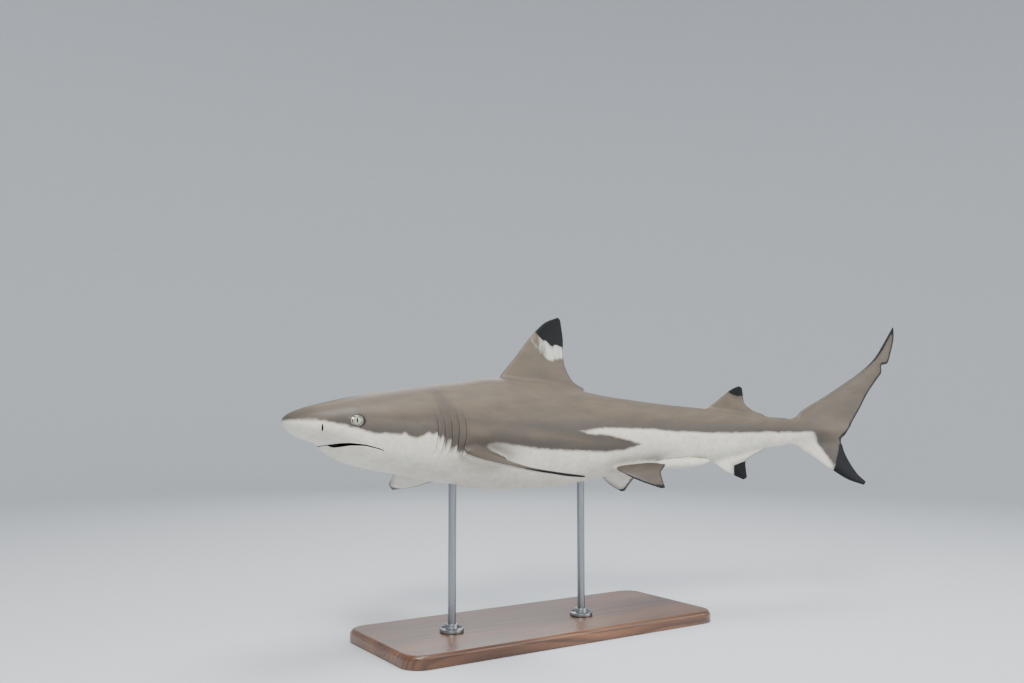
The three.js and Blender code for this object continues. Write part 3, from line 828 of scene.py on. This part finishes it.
# Paired fins: a rib reads back, out, back, out from the root's place.
PECTORAL = {
    "at": (301, 75, -45), "carrier": 338, "droop": 17.5, "pitch": 8, "flex": 27.5, "span": 224,
    "root": 16, "tip": 2.5, "fillet": 7, "rim": (2.0, 6.0), "top_rim": 1.6, "ribs": [
        (-6, -30, 66, -30), (0, 0, 84, 4), (-4, 36, 104, 38), (-2, 75, 114, 68),
        (21, 130, 100, 115), (45, 183, 92, 172), (74, 224, 78, 222),
    ],
}
PELVIC = {
    "at": (647, 36, -64), "carrier": 705, "droop": 36.5, "pitch": 0, "flex": 0, "span": 76,
    "root": 12, "tip": 2.5, "fillet": 4, "rim": (5.0, 9.0), "top_rim": 2.5, "ribs": [
        (-6, -24, 108, -26), (0, 0, 114, 0), (22, 32, 95, 27), (48, 58, 89, 50), (73, 76, 84, 76),
    ],
}
CLASPER_PATH = [(716, 27, -62), (754, 27, -61), (814, 27, -60), (842, 26.5, -59.5), (857, 26, -58)]
CLASPER_RADIUS = [6, 9.5, 9.8, 7, 2.5]
GROOVE_AT = math.radians(118)


def flowing(points, steps):
    """A centripetal curve through points, with the same number of steps between each two."""
    points = np.asarray(points, float)
    made = []
    for i in range(len(points) - 1):
        p1 = points[i]
        p2 = points[i + 1]
        p0 = points[i - 1] if i else 2 * p1 - p2
        p3 = points[i + 2] if i + 2 < len(points) else 2 * p2 - p1
        h0, h1, h2 = [np.linalg.norm(b - a) ** 0.5 for a, b in ((p0, p1), (p1, p2), (p2, p3))]
        t1 = ((p1 - p0) / h0 - (p2 - p0) / (h0 + h1) + (p2 - p1) / h1) * h1
        t2 = ((p2 - p1) / h1 - (p3 - p1) / (h1 + h2) + (p3 - p2) / h2) * h1
        for k in range(steps):
            u = k / steps
            made.append(
                (2 * u ** 3 - 3 * u ** 2 + 1) * p1 + (u ** 3 - 2 * u * u + u) * t1
                + (3 * u * u - 2 * u ** 3) * p2 + (u ** 3 - u * u) * t2
            )
    return np.array(made + [points[-1]])


def foil(v):
    """Half the thickness of a fin along its chord, for a thickness of 1."""
    return 5 * (0.2969 * np.sqrt(v) - 0.126 * v - 0.3516 * v ** 2 + 0.2843 * v ** 3 - 0.1036 * v ** 4)


def fin_rings(fin, steps):
    """Rings of (chordwise, spanwise, thickness) points, and each point's share of the chord."""
    ribs = np.array(fin["ribs"], float)
    leading = flowing(ribs[:, :2], steps)
    trailing = flowing(ribs[:, 2:], steps)
    last = len(leading) - 1
    share = (1 - np.cos(np.linspace(0, math.pi, FIN_ACROSS))) / 2
    tip_middle = (leading[-1] + trailing[-1]) / 2
    outward = leading[-1] - leading[-2] + trailing[-1] - trailing[-2]
    outward = outward / np.linalg.norm(outward)
    stations = [(leading[i], trailing[i], i / last, 1.0) for i in range(last + 1)]
    for turn in (25, 50, 72):
        c = math.cos(math.radians(turn))
        ahead = outward * TIP_REACH * math.sin(math.radians(turn))
        ends = [tip_middle + ahead + (end - tip_middle) * c for end in (leading[-1], trailing[-1])]
        stations.append((*ends, 1.0, c))
    rings = []
    for start, end, out, slim in stations:
        chord = np.linalg.norm(end - start)
        thick = min(fin["root"] + (fin["tip"] - fin["root"]) * out, chord * FIN_FATTEST) * slim
        middle = start + (end - start) * share[:, None]
        half = FIN_EDGE / 2 * slim + thick * foil(share)
        rings.append(np.concatenate([
            np.column_stack([middle, half]),
            np.column_stack([middle, -half])[::-1],
        ]))
    return rings, np.concatenate([share, share[::-1]])


def proud(points):
    """How far points lie outside the plain body, across it."""
    back, left, up = points.T
    half, widest, rise, square = outline(back, up >= section(back)[3])
    scale = ((np.abs(left) / half) ** square + (np.abs(up - widest) / rise) ** square) ** (1 / square)
    return np.hypot(left, up - widest) * (1 - 1 / np.maximum(scale, 1e-3))


def fillet(points, across, radius):
    """How far fin points move out along across near the body, so that the fin flows into it."""
    swell = np.zeros(len(points))
    for _ in range(6):
        share = np.clip(proud(points + swell[:, None] * across) / radius, 0, 1)
        swell = (swell + radius * (1 - np.sqrt(1 - (1 - share) ** 2))) / 2
    return swell[:, None] * across


def edge_distance(points, edge):
    """Distance of flat points from a line of points."""
    a = edge[:-1]
    along = edge[1:] - a
    nearest = np.full(len(points), np.inf)
    for start, step in zip(a, along):
        t = np.clip(((points - start) @ step) / max(step @ step, 1e-9), 0, 1)
        nearest = np.minimum(nearest, np.linalg.norm(points - start - t[:, None] * step, axis=1))
    return nearest


def laid_flat(fin, steps):
    """A fin's solid lying flat, its marking fields, and how far its points are from its front edge."""
    rings, share = fin_rings(fin, steps)
    flat, faces = capped(rings)
    ribs = np.array(fin["ribs"], float)
    front, rear = [edge_distance(flat[:, :2], flowing(ribs[:, k:k + 2], steps)) for k in (0, 2)]
    out = np.repeat(np.linspace(0, 1, len(rings)), len(share))
    width = fin["rim"][0] + (fin["rim"][1] - fin["rim"][0]) * np.append(out, [0, 1])
    if "top_rim" in fin:
        width = np.where(flat[:, 2] > 0, fin["top_rim"], width)
    rays = np.append(np.tile(share, len(rings)), [0.5, 0.5])
    # The margin is 1 more than the distance from the rear edge in widths of its dark rim.
    fields = {("detail", 1): np.minimum(1 + rear / width, FAR), ("detail", 2): rays}
    return flat, faces, fields, front


def middle_fin(name, fin, steps, tip, band=None):
    """A fin on the midline, its ribs given as (back, up)."""
    flat, faces, fields, front = laid_flat(fin, steps)
    points = flat[:, [0, 2, 1]]
    points = points + fillet(points, np.sign(points[:, 1:2]) * [0, 1, 0], fin["fillet"])
    back, _, up = points.T
    fields["marks", 0] = darkness(back, up)
    fields["marks", 1] = tip(back, up, front)
    if band:
        fields["marks", 2] = band(back, up)
    return skin_part(name, points, faces, fields)


def paired_fin(name, fin, side, steps, shade, tip):
    """A fin that stands out to one side, tilted and bent, dark on top and pale below."""
    droop = math.radians(fin["droop"])
    pitch = math.radians(fin["pitch"])
    out = np.array([0, math.cos(droop), -math.sin(droop)])
    lift = np.array([0, math.sin(droop), math.cos(droop)])
    back = np.array([math.cos(pitch), 0, 0]) - lift * math.sin(pitch)
    normal = np.cross(back, out)
    flat, faces, fields, front = laid_flat(fin, steps)
    x, y, z = flat.T
    flex = fin["flex"] * (np.maximum(y, 0) / fin["span"]) ** 2
    points = np.array(fin["at"]) + x[:, None] * back + y[:, None] * out + (flex + z)[:, None] * normal
    points = points + fillet(points, np.sign(z)[:, None] * normal, fin["fillet"])
    points[:, 1] *= side
    fields["marks", 0] = 14 * np.tanh(1.6 * z) + shade(y)
    fields["marks", 1] = tip(x, y, front)
    return skin_part(name, points, faces, fields, fin["carrier"])


def clasper(name, side):
    """A round, tapered rod along the belly with a groove down its inner top."""
    path = flowing(CLASPER_PATH, 10)
    keys = np.linspace(0, 1, len(CLASPER_RADIUS))
    radius = eased(keys, CLASPER_RADIUS, np.linspace(0, 1, len(path)))
    angles = np.linspace(0, 2 * math.pi, 32, endpoint=False)
    rings = []
    for (back, left, up), size in zip(path, radius):
        groove = 1 - 0.22 * hump(angles, GROOVE_AT, 0.16)
        rings.append(np.column_stack([
            np.full(len(angles), back),
            side * (left + size * groove * np.cos(angles)),
            up + size * groove * np.sin(angles),
        ]))
    end = rings[-1].mean(0)
    for grow, reach in ((0.85, 1.0), (0.5, 1.9)):
        rings.append(end + (rings[len(path) - 1] - end) * grow + [reach, 0, 0])
    points, faces = capped(rings)
    # Painted shade darkens the groove.
    crease_shade = np.concatenate([np.tile(hump(angles, GROOVE_AT, 0.2), len(rings)), [0, 0]])
    return skin_part(name, points, faces, {
        ("marks", 0): -14.0, ("marks", 1): -FAR, ("detail", 0): 0.6 * crease_shade, ("detail", 1): FAR,
    })


# The black tips' edges on the middle fins, as (back, up), or (up, back) on the tail's lower lobe.
FIRST_TIP = [
    (505, 196), (513, 190), (518, 183), (526, 175), (535, 173), (541, 167), (548, 163), (555, 167),
    (564, 165), (575, 162),
]
FIRST_BAND = [(500, 176), (508, 162), (522, 148), (532, 139), (545, 135), (558, 139), (575, 143)]
SECOND_TIP = [(908, 84), (918, 78), (927, 73), (938, 71), (950, 72)]
TAIL_TIP = [(-112, 1124), (-75, 1133), (-58, 1139), (-37, 1148), (-21, 1153), (-8, 1175), (4, 1230)]


def anal_tip(back, up, front):
    return np.minimum(back - 918, -up - 59 - (941 - back) / 3)


def upper_lobe_tip(back, up, front):
    """The upper lobe's black front edge, which widens along the end lobe to its tip."""
    return np.maximum(4.2 * np.clip((up - 110) / 60, 0, 1) - front - 0.5, up - 206)


def lower_lobe_tip(back, up, front):
    return back - curve(TAIL_TIP, up)


def dorsal_tip(edge):
    """How far above its edge a dorsal fin's black tip lies."""
    return lambda back, up, front: up - curve(edge, back)


def first_dorsal_band(back, up):
    """The pale band under the first dorsal fin's black tip, brightest towards the rear."""
    inside = np.minimum(curve(FIRST_TIP, back) - up, up - curve(FIRST_BAND, back))
    return -np.clip(0.5 + inside / 7, 0, 1) * np.clip((back - 500) / 45, 0.3, 1)


def pectoral_tip(x, y, front):
    return np.maximum(y - 194 - 0.3 * (x - 70), 4.0 * np.clip((y - 130) / 60, 0, 1) - front - 0.5)


def pelvic_tip(x, y, front):
    return np.maximum(y - 69, 2.6 * np.clip((y - 30) / 20, 0, 1) - front - 0.4)


parts = [
    middle_fin("skin_upper_lobe", TAIL_UPPER, 6, upper_lobe_tip),
    middle_fin("skin_lower_lobe", TAIL_LOWER, 8, lower_lobe_tip),
    middle_fin("skin_first_dorsal", FIRST_DORSAL, 11, dorsal_tip(FIRST_TIP), first_dorsal_band),
    middle_fin("skin_second_dorsal", SECOND_DORSAL, 8, dorsal_tip(SECOND_TIP)),
    middle_fin("skin_anal", ANAL, 8, anal_tip),
]
for word, side in (("left", 1), ("right", -1)):
    parts += [
        paired_fin(f"skin_pectoral_{word}", PECTORAL, side, 10, lambda y: -1.0, pectoral_tip),
        paired_fin(f"skin_pelvic_{word}", PELVIC, side, 10, lambda y: -0.11 * y, pelvic_tip),
        clasper(f"skin_clasper_{word}", side),
    ]


# The numbers of these parts once they are counted from 1, with the body as 0.
TAIL_LOBES = (1, 2)
CLASPERS = (8, 11)

# What a cutting solid leaves on its faces: its points lend no marks to the skin beside it.
CUT_FIELDS = {("marks", 0): 10.0, ("marks", 1): -FAR, ("detail", 1): -1.0}


def egg(name, size, at, side, grow, rings=24, sides=40):
    """An egg-shaped solid set in the side of the head."""
    across = np.linspace(0, 2 * math.pi, sides, endpoint=False)
    stack = []
    for k in range(1, rings):
        pole = math.pi * k / rings
        stack.append(np.column_stack([
            (size["length"] / 2 + grow) * math.sin(pole) * np.cos(across),
            (size["depth"] / 2 + grow) * math.sin(pole) * np.sin(across),
            np.full(sides, (size["height"] / 2 + grow) * math.cos(pole)),
        ]))
    points, faces = capped(stack)
    points[-2:, 2] = [size["height"] / 2 + grow, -size["height"] / 2 - grow]
    c = math.cos(size["turn"])
    s = math.sin(size["turn"])
    back = at[0] + c * points[:, 0] - s * points[:, 1]
    left = at[1] + s * points[:, 0] + c * points[:, 1]
    solid = np.stack([back, side * left, at[2] + points[:, 2]], 1)
    return skin_part(name, solid, faces, CUT_FIELDS)


eye_left = section(EYE["back"])[2] - EYE["sunk"]
cutters = []
eye_at = (EYE["back"], eye_left, EYE["up"])
nostril_at = (NOSTRIL["back"], NOSTRIL["left"], NOSTRIL["up"])
for word, side in (("left", 1), ("right", -1)):
    cutters.append(egg(f"socket_{word}", EYE, eye_at, side, SOCKET_CLEARANCE, 40, 64))
    cutters.append(egg(f"nostril_{word}", NOSTRIL, nostril_at, side, 0.0))


def mouth_cutter():
    """A thin wedge that follows the mouth's arch, open at the lips and closed inside."""
    path = flowing(MOUTH_ARCH + [(back, -left) for back, left in MOUTH_ARCH[-2::-1]], 8)
    tangents = np.gradient(path, axis=0)
    tangents /= np.linalg.norm(tangents, axis=1)[:, None]
    rings = []
    for (back, left), (ahead, aside) in zip(path, tangents):
        inward = np.array([-aside, ahead])
        if inward @ (np.array([150, 0]) - (back, left)) < 0:
            inward = -inward
        gap = float(curve(MOUTH_GAP, left))
        lip = float(underside(back, left))
        deep = min(MOUTH_DEPTH, 4 + 0.02 * left ** 2, 4 + 2.5 * gap)
        wedge = [
            (-LIP_REACH, -0.3), (0, 0), (deep * 0.4, 0.8), (deep * 0.8, 0.6), (deep, -gap * 0.5),
            (deep * 0.8, -gap * 0.9 - 0.4), (deep * 0.3, -gap), (-LIP_REACH, -gap),
        ]
        rings.append(np.array([
            (*(np.array([back, left]) + inward * inside), lip + up) for inside, up in wedge
        ]))
    points, faces = capped(rings)
    return skin_part("mouth", points, faces, CUT_FIELDS)


cutters.append(mouth_cutter())


def number_faces(part, number):
    """Marks a part's faces, so that its joins with others can be found."""
    layer = part.data.attributes.new("part", "INT", "FACE")
    layer.data.foreach_set("value", np.full(len(part.data.polygons), number, np.int32))


def face_numbers(mesh):
    numbers = np.zeros(len(mesh.polygons), np.int32)
    mesh.attributes["part"].data.foreach_get("value", numbers)
    return numbers


def combined(base, others, operation):
    """The base joined with other solids or cut by them, one after the other."""
    for other in others:
        change = base.modifiers.new("change", "BOOLEAN")
        change.operation = operation
        change.solver = "MANIFOLD"
        change.object = other
        mesh = settled(base)
        base.modifiers.remove(change)
        base.data = mesh
        bpy.data.objects.remove(other)
    return base


shark = body()
for number, part in enumerate([shark] + parts + cutters):
    number_faces(part, number)
first_cutter = len(parts) + 1
combined(shark, parts, "UNION")
combined(shark, cutters, "DIFFERENCE")


def heal_marks(mesh):
    """Gives the points that the cuts made, which carry no marks, the mean of the skin beside them."""
    values = np.hstack([stored(mesh, "marks"), stored(mesh, "detail")]).astype(float)
    known = values[:, 4] > 0.5
    bare = np.abs(values[:, 4]) < 0.5
    edges = np.array([edge.vertices[:] for edge in mesh.edges])
    both_ways = np.concatenate([edges, edges[:, ::-1]])
    while True:
        useful = both_ways[(bare & ~known)[both_ways[:, 0]] & known[both_ways[:, 1]]]
        if not len(useful):
            break
        total = np.zeros_like(values)
        np.add.at(total, useful[:, 0], values[useful[:, 1]])
        count = np.bincount(useful[:, 0], minlength=len(values))
        fresh = count > 0
        values[fresh] = total[fresh] / count[fresh, None]
        known |= fresh
    store(mesh, "marks", values[:, :3])
    store(mesh, "detail", values[:, 3:])


heal_marks(shark.data)
# The faces that the cuts leave inside the mouth, nostrils and eye sockets are marked, so that the skin
# paints them dark as painted shade.
store(shark.data, "inside", face_numbers(shark.data) >= first_cutter)


def soften(mesh, chosen, reach, rounds, with_marks=True, crease_shade=0.0):
    """Smooths the skin, and perhaps its marks, near the edges where chosen parts meet, and may paint shade
    along them.
    """
    part = face_numbers(mesh)
    edge_faces = {}
    for face in mesh.polygons:
        for key in face.edge_keys:
            edge_faces.setdefault(key, []).append(part[face.index])
    joins = [key for key, on in edge_faces.items() if len(on) == 2 and on[0] != on[1] and chosen(*on)]
    points = np.zeros(len(mesh.vertices) * 3, np.float32)
    mesh.vertices.foreach_get("co", points)
    points = points.reshape(-1, 3).astype(float) * METRE
    tree = kdtree.KDTree(len(joins))
    for k, (a, b) in enumerate(joins):
        tree.insert((points[a] + points[b]) / 2, k)
    tree.balance()
    away = np.array([tree.find(point)[2] for point in points])
    weight = np.clip(1 - away / reach, 0, 1)[:, None] ** 0.7
    edges = np.array([edge.vertices[:] for edge in mesh.edges])
    degree = np.bincount(edges.ravel(), minlength=len(points))[:, None]
    values = np.hstack([points, stored(mesh, "marks")] if with_marks else [points])
    for _ in range(rounds):
        total = np.zeros_like(values)
        np.add.at(total, edges[:, 0], values[edges[:, 1]])
        np.add.at(total, edges[:, 1], values[edges[:, 0]])
        values += weight * 0.5 * (total / degree - values)
    mesh.vertices.foreach_set("co", (values[:, :3] / METRE).astype(np.float32).ravel())
    if with_marks:
        store(mesh, "marks", values[:, 3:])
    if crease_shade:
        detail = stored(mesh, "detail")
        detail[np.unique(np.array(joins)), 0] = crease_shade
        store(mesh, "detail", detail)
    mesh.update()


skin_mesh = shark.data
soften(skin_mesh, lambda a, b: min(a, b) == 0 and max(a, b) in TAIL_LOBES, reach=16.0, rounds=60)
soften(
    skin_mesh, lambda a, b: max(a, b) < first_cutter and max(a, b) not in CLASPERS,
    reach=8.0, rounds=24,
)
# Painted shade darkens the line where each clasper meets the body.
soften(skin_mesh, lambda a, b: max(a, b) in CLASPERS, reach=3.0, rounds=5, crease_shade=0.6)
soften(skin_mesh, lambda a, b: max(a, b) >= first_cutter, reach=1.6, rounds=2, with_marks=False)

BACK_BROWN = paint(102, 90, 76)
BACK_GREY = paint(84, 78, 70)
SPEAR_GREY = paint(60, 57, 55)
BELLY_WHITE = paint(222, 219, 208)
BELLY_CREAM = paint(206, 198, 180)
TIP_BLACK = paint(12, 12, 14)
BAND_WHITE = paint(205, 207, 198)
SHADE_DARK = paint(26, 20, 20)
RAY_RIPPLES = 260.0
DENTICLES_PER_METRE = 1100.0


def shark_skin():
    """The colours from the stored marks. Noise scales are per metre, edges in millimetres."""
    skin = Finish("shark_skin", {"Specular IOR Level": 0.2, "Coat Roughness": 0.25})
    dark, tip, root_shade_or_pale_band = skin.parts(skin.attribute("marks"))
    line_shade, margin, rays = skin.parts(skin.attribute("detail"))
    where = skin.place()
    broad = skin.noise(where, 26.0, 2.0) - 0.5
    ragged = skin.noise(where, 110.0, 3.0) - 0.5
    speck = skin.noise(where, 900.0, 2.0)
    streak = skin.noise(skin.place((0.35, 1.0, 1.0)), 60.0, 5.0, 0.3)
    strands = skin.noise(skin.place((1.0, 1.0, 0.25)), 170.0, 3.0) - 0.5

    edge = dark + broad * 9.0 + ragged * 5.0
    pigment = skin.step(edge, -3.4, 3.8)
    # Painted shade: the patches round the fin roots pull the pale skin towards the back's colour.
    painted_root_shade = skin.maths("MAXIMUM", root_shade_or_pale_band, 0.0)
    pigment = pigment + (1.0 - pigment) * painted_root_shade * (0.6 + streak * 0.4)

    tone = skin.step(streak + speck * 0.3, 0.3, 1.0)
    back = skin.blend(tone, BACK_GREY, BACK_BROWN)
    near_edge = skin.step(edge, 34.0, 4.0)
    back = skin.blend(near_edge * 0.6, back, SPEAR_GREY)
    belly = skin.blend(skin.step(broad + ragged, -0.35, 0.4), BELLY_CREAM, BELLY_WHITE)
    colour = skin.blend(pigment, belly, back)

    tip_edge = tip + ragged * 3.0
    smoke = skin.step(tip_edge, -11.0, 0.0) * 0.45
    colour = skin.blend(smoke, colour, SPEAR_GREY)
    white_band = skin.step(0.0 - root_shade_or_pale_band + strands * 1.3 + ragged * 0.3, 0.15, 1.15)
    white_band = white_band * skin.step(0.0 - root_shade_or_pale_band, 0.02, 0.2)
    colour = skin.blend(white_band * 0.85, colour, BAND_WHITE)
    black = skin.step(tip_edge, -0.7, 0.9)
    rim = skin.step(margin + ragged * 0.8, 2.2, 1.75)
    fin = skin.step(margin, 55.0, 50.0)
    colour = skin.blend(skin.step(speck, 0.25, 0.75) * 0.12, colour, SPEAR_GREY)
    colour = skin.blend(rim * 0.85, colour, TIP_BLACK)
    colour = skin.blend(black, colour, TIP_BLACK)
    # Painted shade: creases, slit bottoms, lid rims and the faces inside the mouth, nostrils and sockets
    # go dark.
    painted_shade = skin.maths("MAXIMUM", line_shade, skin.attribute("inside", "Fac"))
    colour = skin.blend(skin.step(painted_shade, 0.05, 0.95), colour, SHADE_DARK)

    ray = skin.maths("SINE", rays * RAY_RIPPLES)
    denticles = skin.node("ShaderNodeTexVoronoi", {}, {"Vector": where, "Scale": DENTICLES_PER_METRE})
    height = speck * 0.35 + denticles * 0.5 + ray * fin * 0.12
    return skin.wear(
        Base_Color=colour,
        Roughness=0.44 + speck * 0.14 - black * 0.04,
        Coat_Weight=(1.0 - black) * 0.12,
        Normal=skin.bump(height, 0.22, 0.0004),
    )


FLESH = [
    "head", "lower_jaw", "gill_region", "trunk", "tail", "tail_stalk", "first_dorsal_fin",
    "second_dorsal_fin", "anal_fin", "tail_fin_upper_lobe", "tail_fin_lower_lobe",
    "pectoral_fin_left", "pectoral_fin_right", "pelvic_fin_left", "pelvic_fin_right",
    "clasper_left", "clasper_right",
]
bpy.data.objects.remove(shark)
skin_mesh.name = "skin"
piece("skin", skin_mesh, shark_skin(), FLESH, 60)

# ---- The eyes ----
# Ground glass eyes set in the head: a pale green-silver iris with a dark upright slit for a
# pupil, a dark ring round it, and a clear polished front. Each is glued into its socket.

IRIS_SILVER = paint(170, 172, 146)
IRIS_GREEN = paint(112, 118, 92)
IRIS_RING = paint(38, 38, 36)
WHITE_OF_EYE = paint(132, 137, 122)
PUPIL_BLACK = paint(5, 5, 7)
PUPIL_HEIGHT = 8.4
PUPIL_WIDTH = 2.6
IRIS_RADIUS = 7.6
IRIS_FORWARD = 0.8
RING_WIDTH = 1.1
EYE_RINGS = 48
EYE_SIDES = 96


def glass_eye():
    """An iris, its ring and the pupil round the middle of the gaze, in millimetres from it."""
    eye = Finish("glass_eye", {"Roughness": 0.16, "Coat Weight": 1.0, "Coat Roughness": 0.02})
    along, across, _ = eye.parts(eye.attribute("gaze"))
    radius = eye.maths("SQRT", along * along + across * across)
    fibre_place = eye.node("ShaderNodeCombineXYZ", {}, {0: along * 0.22, 1: across * 0.22})
    fibres = eye.noise(fibre_place, 6.0, 4.0, 0.6)
    iris = eye.blend(eye.step(fibres, 0.25, 0.85), IRIS_GREEN, IRIS_SILVER)
    iris = eye.blend(eye.step(radius, 1.5, 5.0, 0.35, 0.0), iris, IRIS_SILVER)
    iris = eye.blend(eye.step(radius, IRIS_RADIUS + 0.3, IRIS_RADIUS + 1.6), iris, WHITE_OF_EYE)
    ring = eye.step(abs(radius - IRIS_RADIUS), RING_WIDTH, RING_WIDTH * 0.35)
    iris = eye.blend(ring, iris, IRIS_RING)
    iris = eye.blend(eye.step(radius, 9.6, 11.6), iris, IRIS_RING)
    tall = across / (PUPIL_HEIGHT / 2)
    slit = abs(along) / (PUPIL_WIDTH / 2) + tall * tall
    pupil = eye.step(slit, 1.15, 0.85)
    return eye.wear(Base_Color=eye.blend(pupil, iris, PUPIL_BLACK))


glass = glass_eye()
for word, side in (("left", 1), ("right", -1)):
    ball = egg(f"glass_eye_{word}", EYE, eye_at, side, 0.0, EYE_RINGS, EYE_SIDES)
    mesh = ball.data
    bpy.data.objects.remove(ball)
    across = np.linspace(0, 2 * math.pi, EYE_SIDES, endpoint=False)
    pole = np.pi * np.arange(1, EYE_RINGS) / EYE_RINGS
    gaze = np.stack([
        EYE["length"] / 2 * np.outer(np.sin(pole), np.cos(across)).ravel() + IRIS_FORWARD,
        EYE["height"] / 2 * np.repeat(np.cos(pole), EYE_SIDES),
        np.outer(np.sin(pole), np.sin(across)).ravel(),
    ], 1)
    ends = [[0, EYE["height"] / 2, 0], [0, -EYE["height"] / 2, 0]]
    store(mesh, "gaze", np.concatenate([gaze, ends]))
    piece(f"glass_eye_{word}", mesh, glass, [f"eye_{word}"], 180)

# ---- The studio ----
# A pale floor that curves up into a wall all round, soft lamps over it, and the camera.

FLOOR_RADIUS = 3200.0
WALL_CURVE = 1600.0
WALL_TOP = 4200.0
WALL_SIDES = 96
WALL_FACETS = 16
FLOOR_GAP = 0.5
PALE_PAPER = paint(206, 211, 216)
PAPER_FIBRE = paint(200, 205, 211)


def studio_floor():
    """Matt paper with a faint fibre."""
    paper = Finish("studio_paper", {"Roughness": 0.9})
    fibre = paper.noise(paper.place(), 40.0, 3.0)
    colour = paper.blend(fibre, PALE_PAPER, PAPER_FIBRE)
    return paper.wear(Base_Color=colour)


profile = [(FLOOR_RADIUS * k / 4 + 1, -FLOOR_GAP) for k in range(5)]
for k in range(1, WALL_FACETS + 1):
    angle = math.radians(90 * k / WALL_FACETS)
    rise = WALL_CURVE * (1 - math.cos(angle)) - FLOOR_GAP
    profile.append((FLOOR_RADIUS + WALL_CURVE * math.sin(angle), rise))
profile.append((FLOOR_RADIUS + WALL_CURVE, WALL_TOP))
points, faces = turned(profile, WALL_SIDES, (0, 0))
faces.append(tuple(reversed(range(WALL_SIDES))))
floor_mesh = bpy.data.meshes.new("studio_floor")
floor_mesh.from_pydata((np.array(points) / METRE).tolist(), [], faces)
floor_mesh.shade_smooth()
floor_mesh.materials.append(studio_floor())
added("studio_floor", floor_mesh)

LAMPS = [
    ("key", (-1.5, -1.9, 2.2), 1.0, 108, (1.0, 0.97, 0.93)),
    ("fill", (1.6, -2.1, 1.2), 1.8, 34, (0.93, 0.97, 1.0)),
    ("top", (0.2, -0.4, 2.9), 1.4, 70, (1.0, 1.0, 1.0)),
    ("rim", (1.1, 2.1, 1.6), 1.2, 14, (1.0, 0.98, 0.95)),
]
AIM = Vector((0.05, 0.0, 0.34))
for name, spot, size, power, tint in LAMPS:
    lamp = bpy.data.lights.new(name, "AREA")
    lamp.energy = power
    lamp.size = size
    lamp.color = tint
    holder = added(name, lamp)
    holder.location = spot
    holder.rotation_euler = (AIM - Vector(spot)).to_track_quat("-Z", "Y").to_euler()
    holder.visible_camera = False

sky = bpy.data.worlds.new("studio_air")
sky.use_nodes = True
sky.node_tree.nodes["Background"].inputs["Color"].default_value = (0.86, 0.88, 0.9, 1)
sky.node_tree.nodes["Background"].inputs["Strength"].default_value = 0.6
bpy.context.scene.world = sky

CAMERA_AT = (-1.013, -1.473, 0.409)
LOOK = (0.5427, 0.8371, 0.0698)
FOCAL_PIXELS = 950
PICTURE_WIDTH = 1024
camera = bpy.data.cameras.new("camera")
camera.sensor_width = 36
camera.lens = camera.sensor_width * FOCAL_PIXELS / PICTURE_WIDTH
viewer = added("camera", camera)
viewer.location = CAMERA_AT
viewer.rotation_euler = Vector(LOOK).to_track_quat("-Z", "Y").to_euler()
bpy.context.scene.camera = viewer
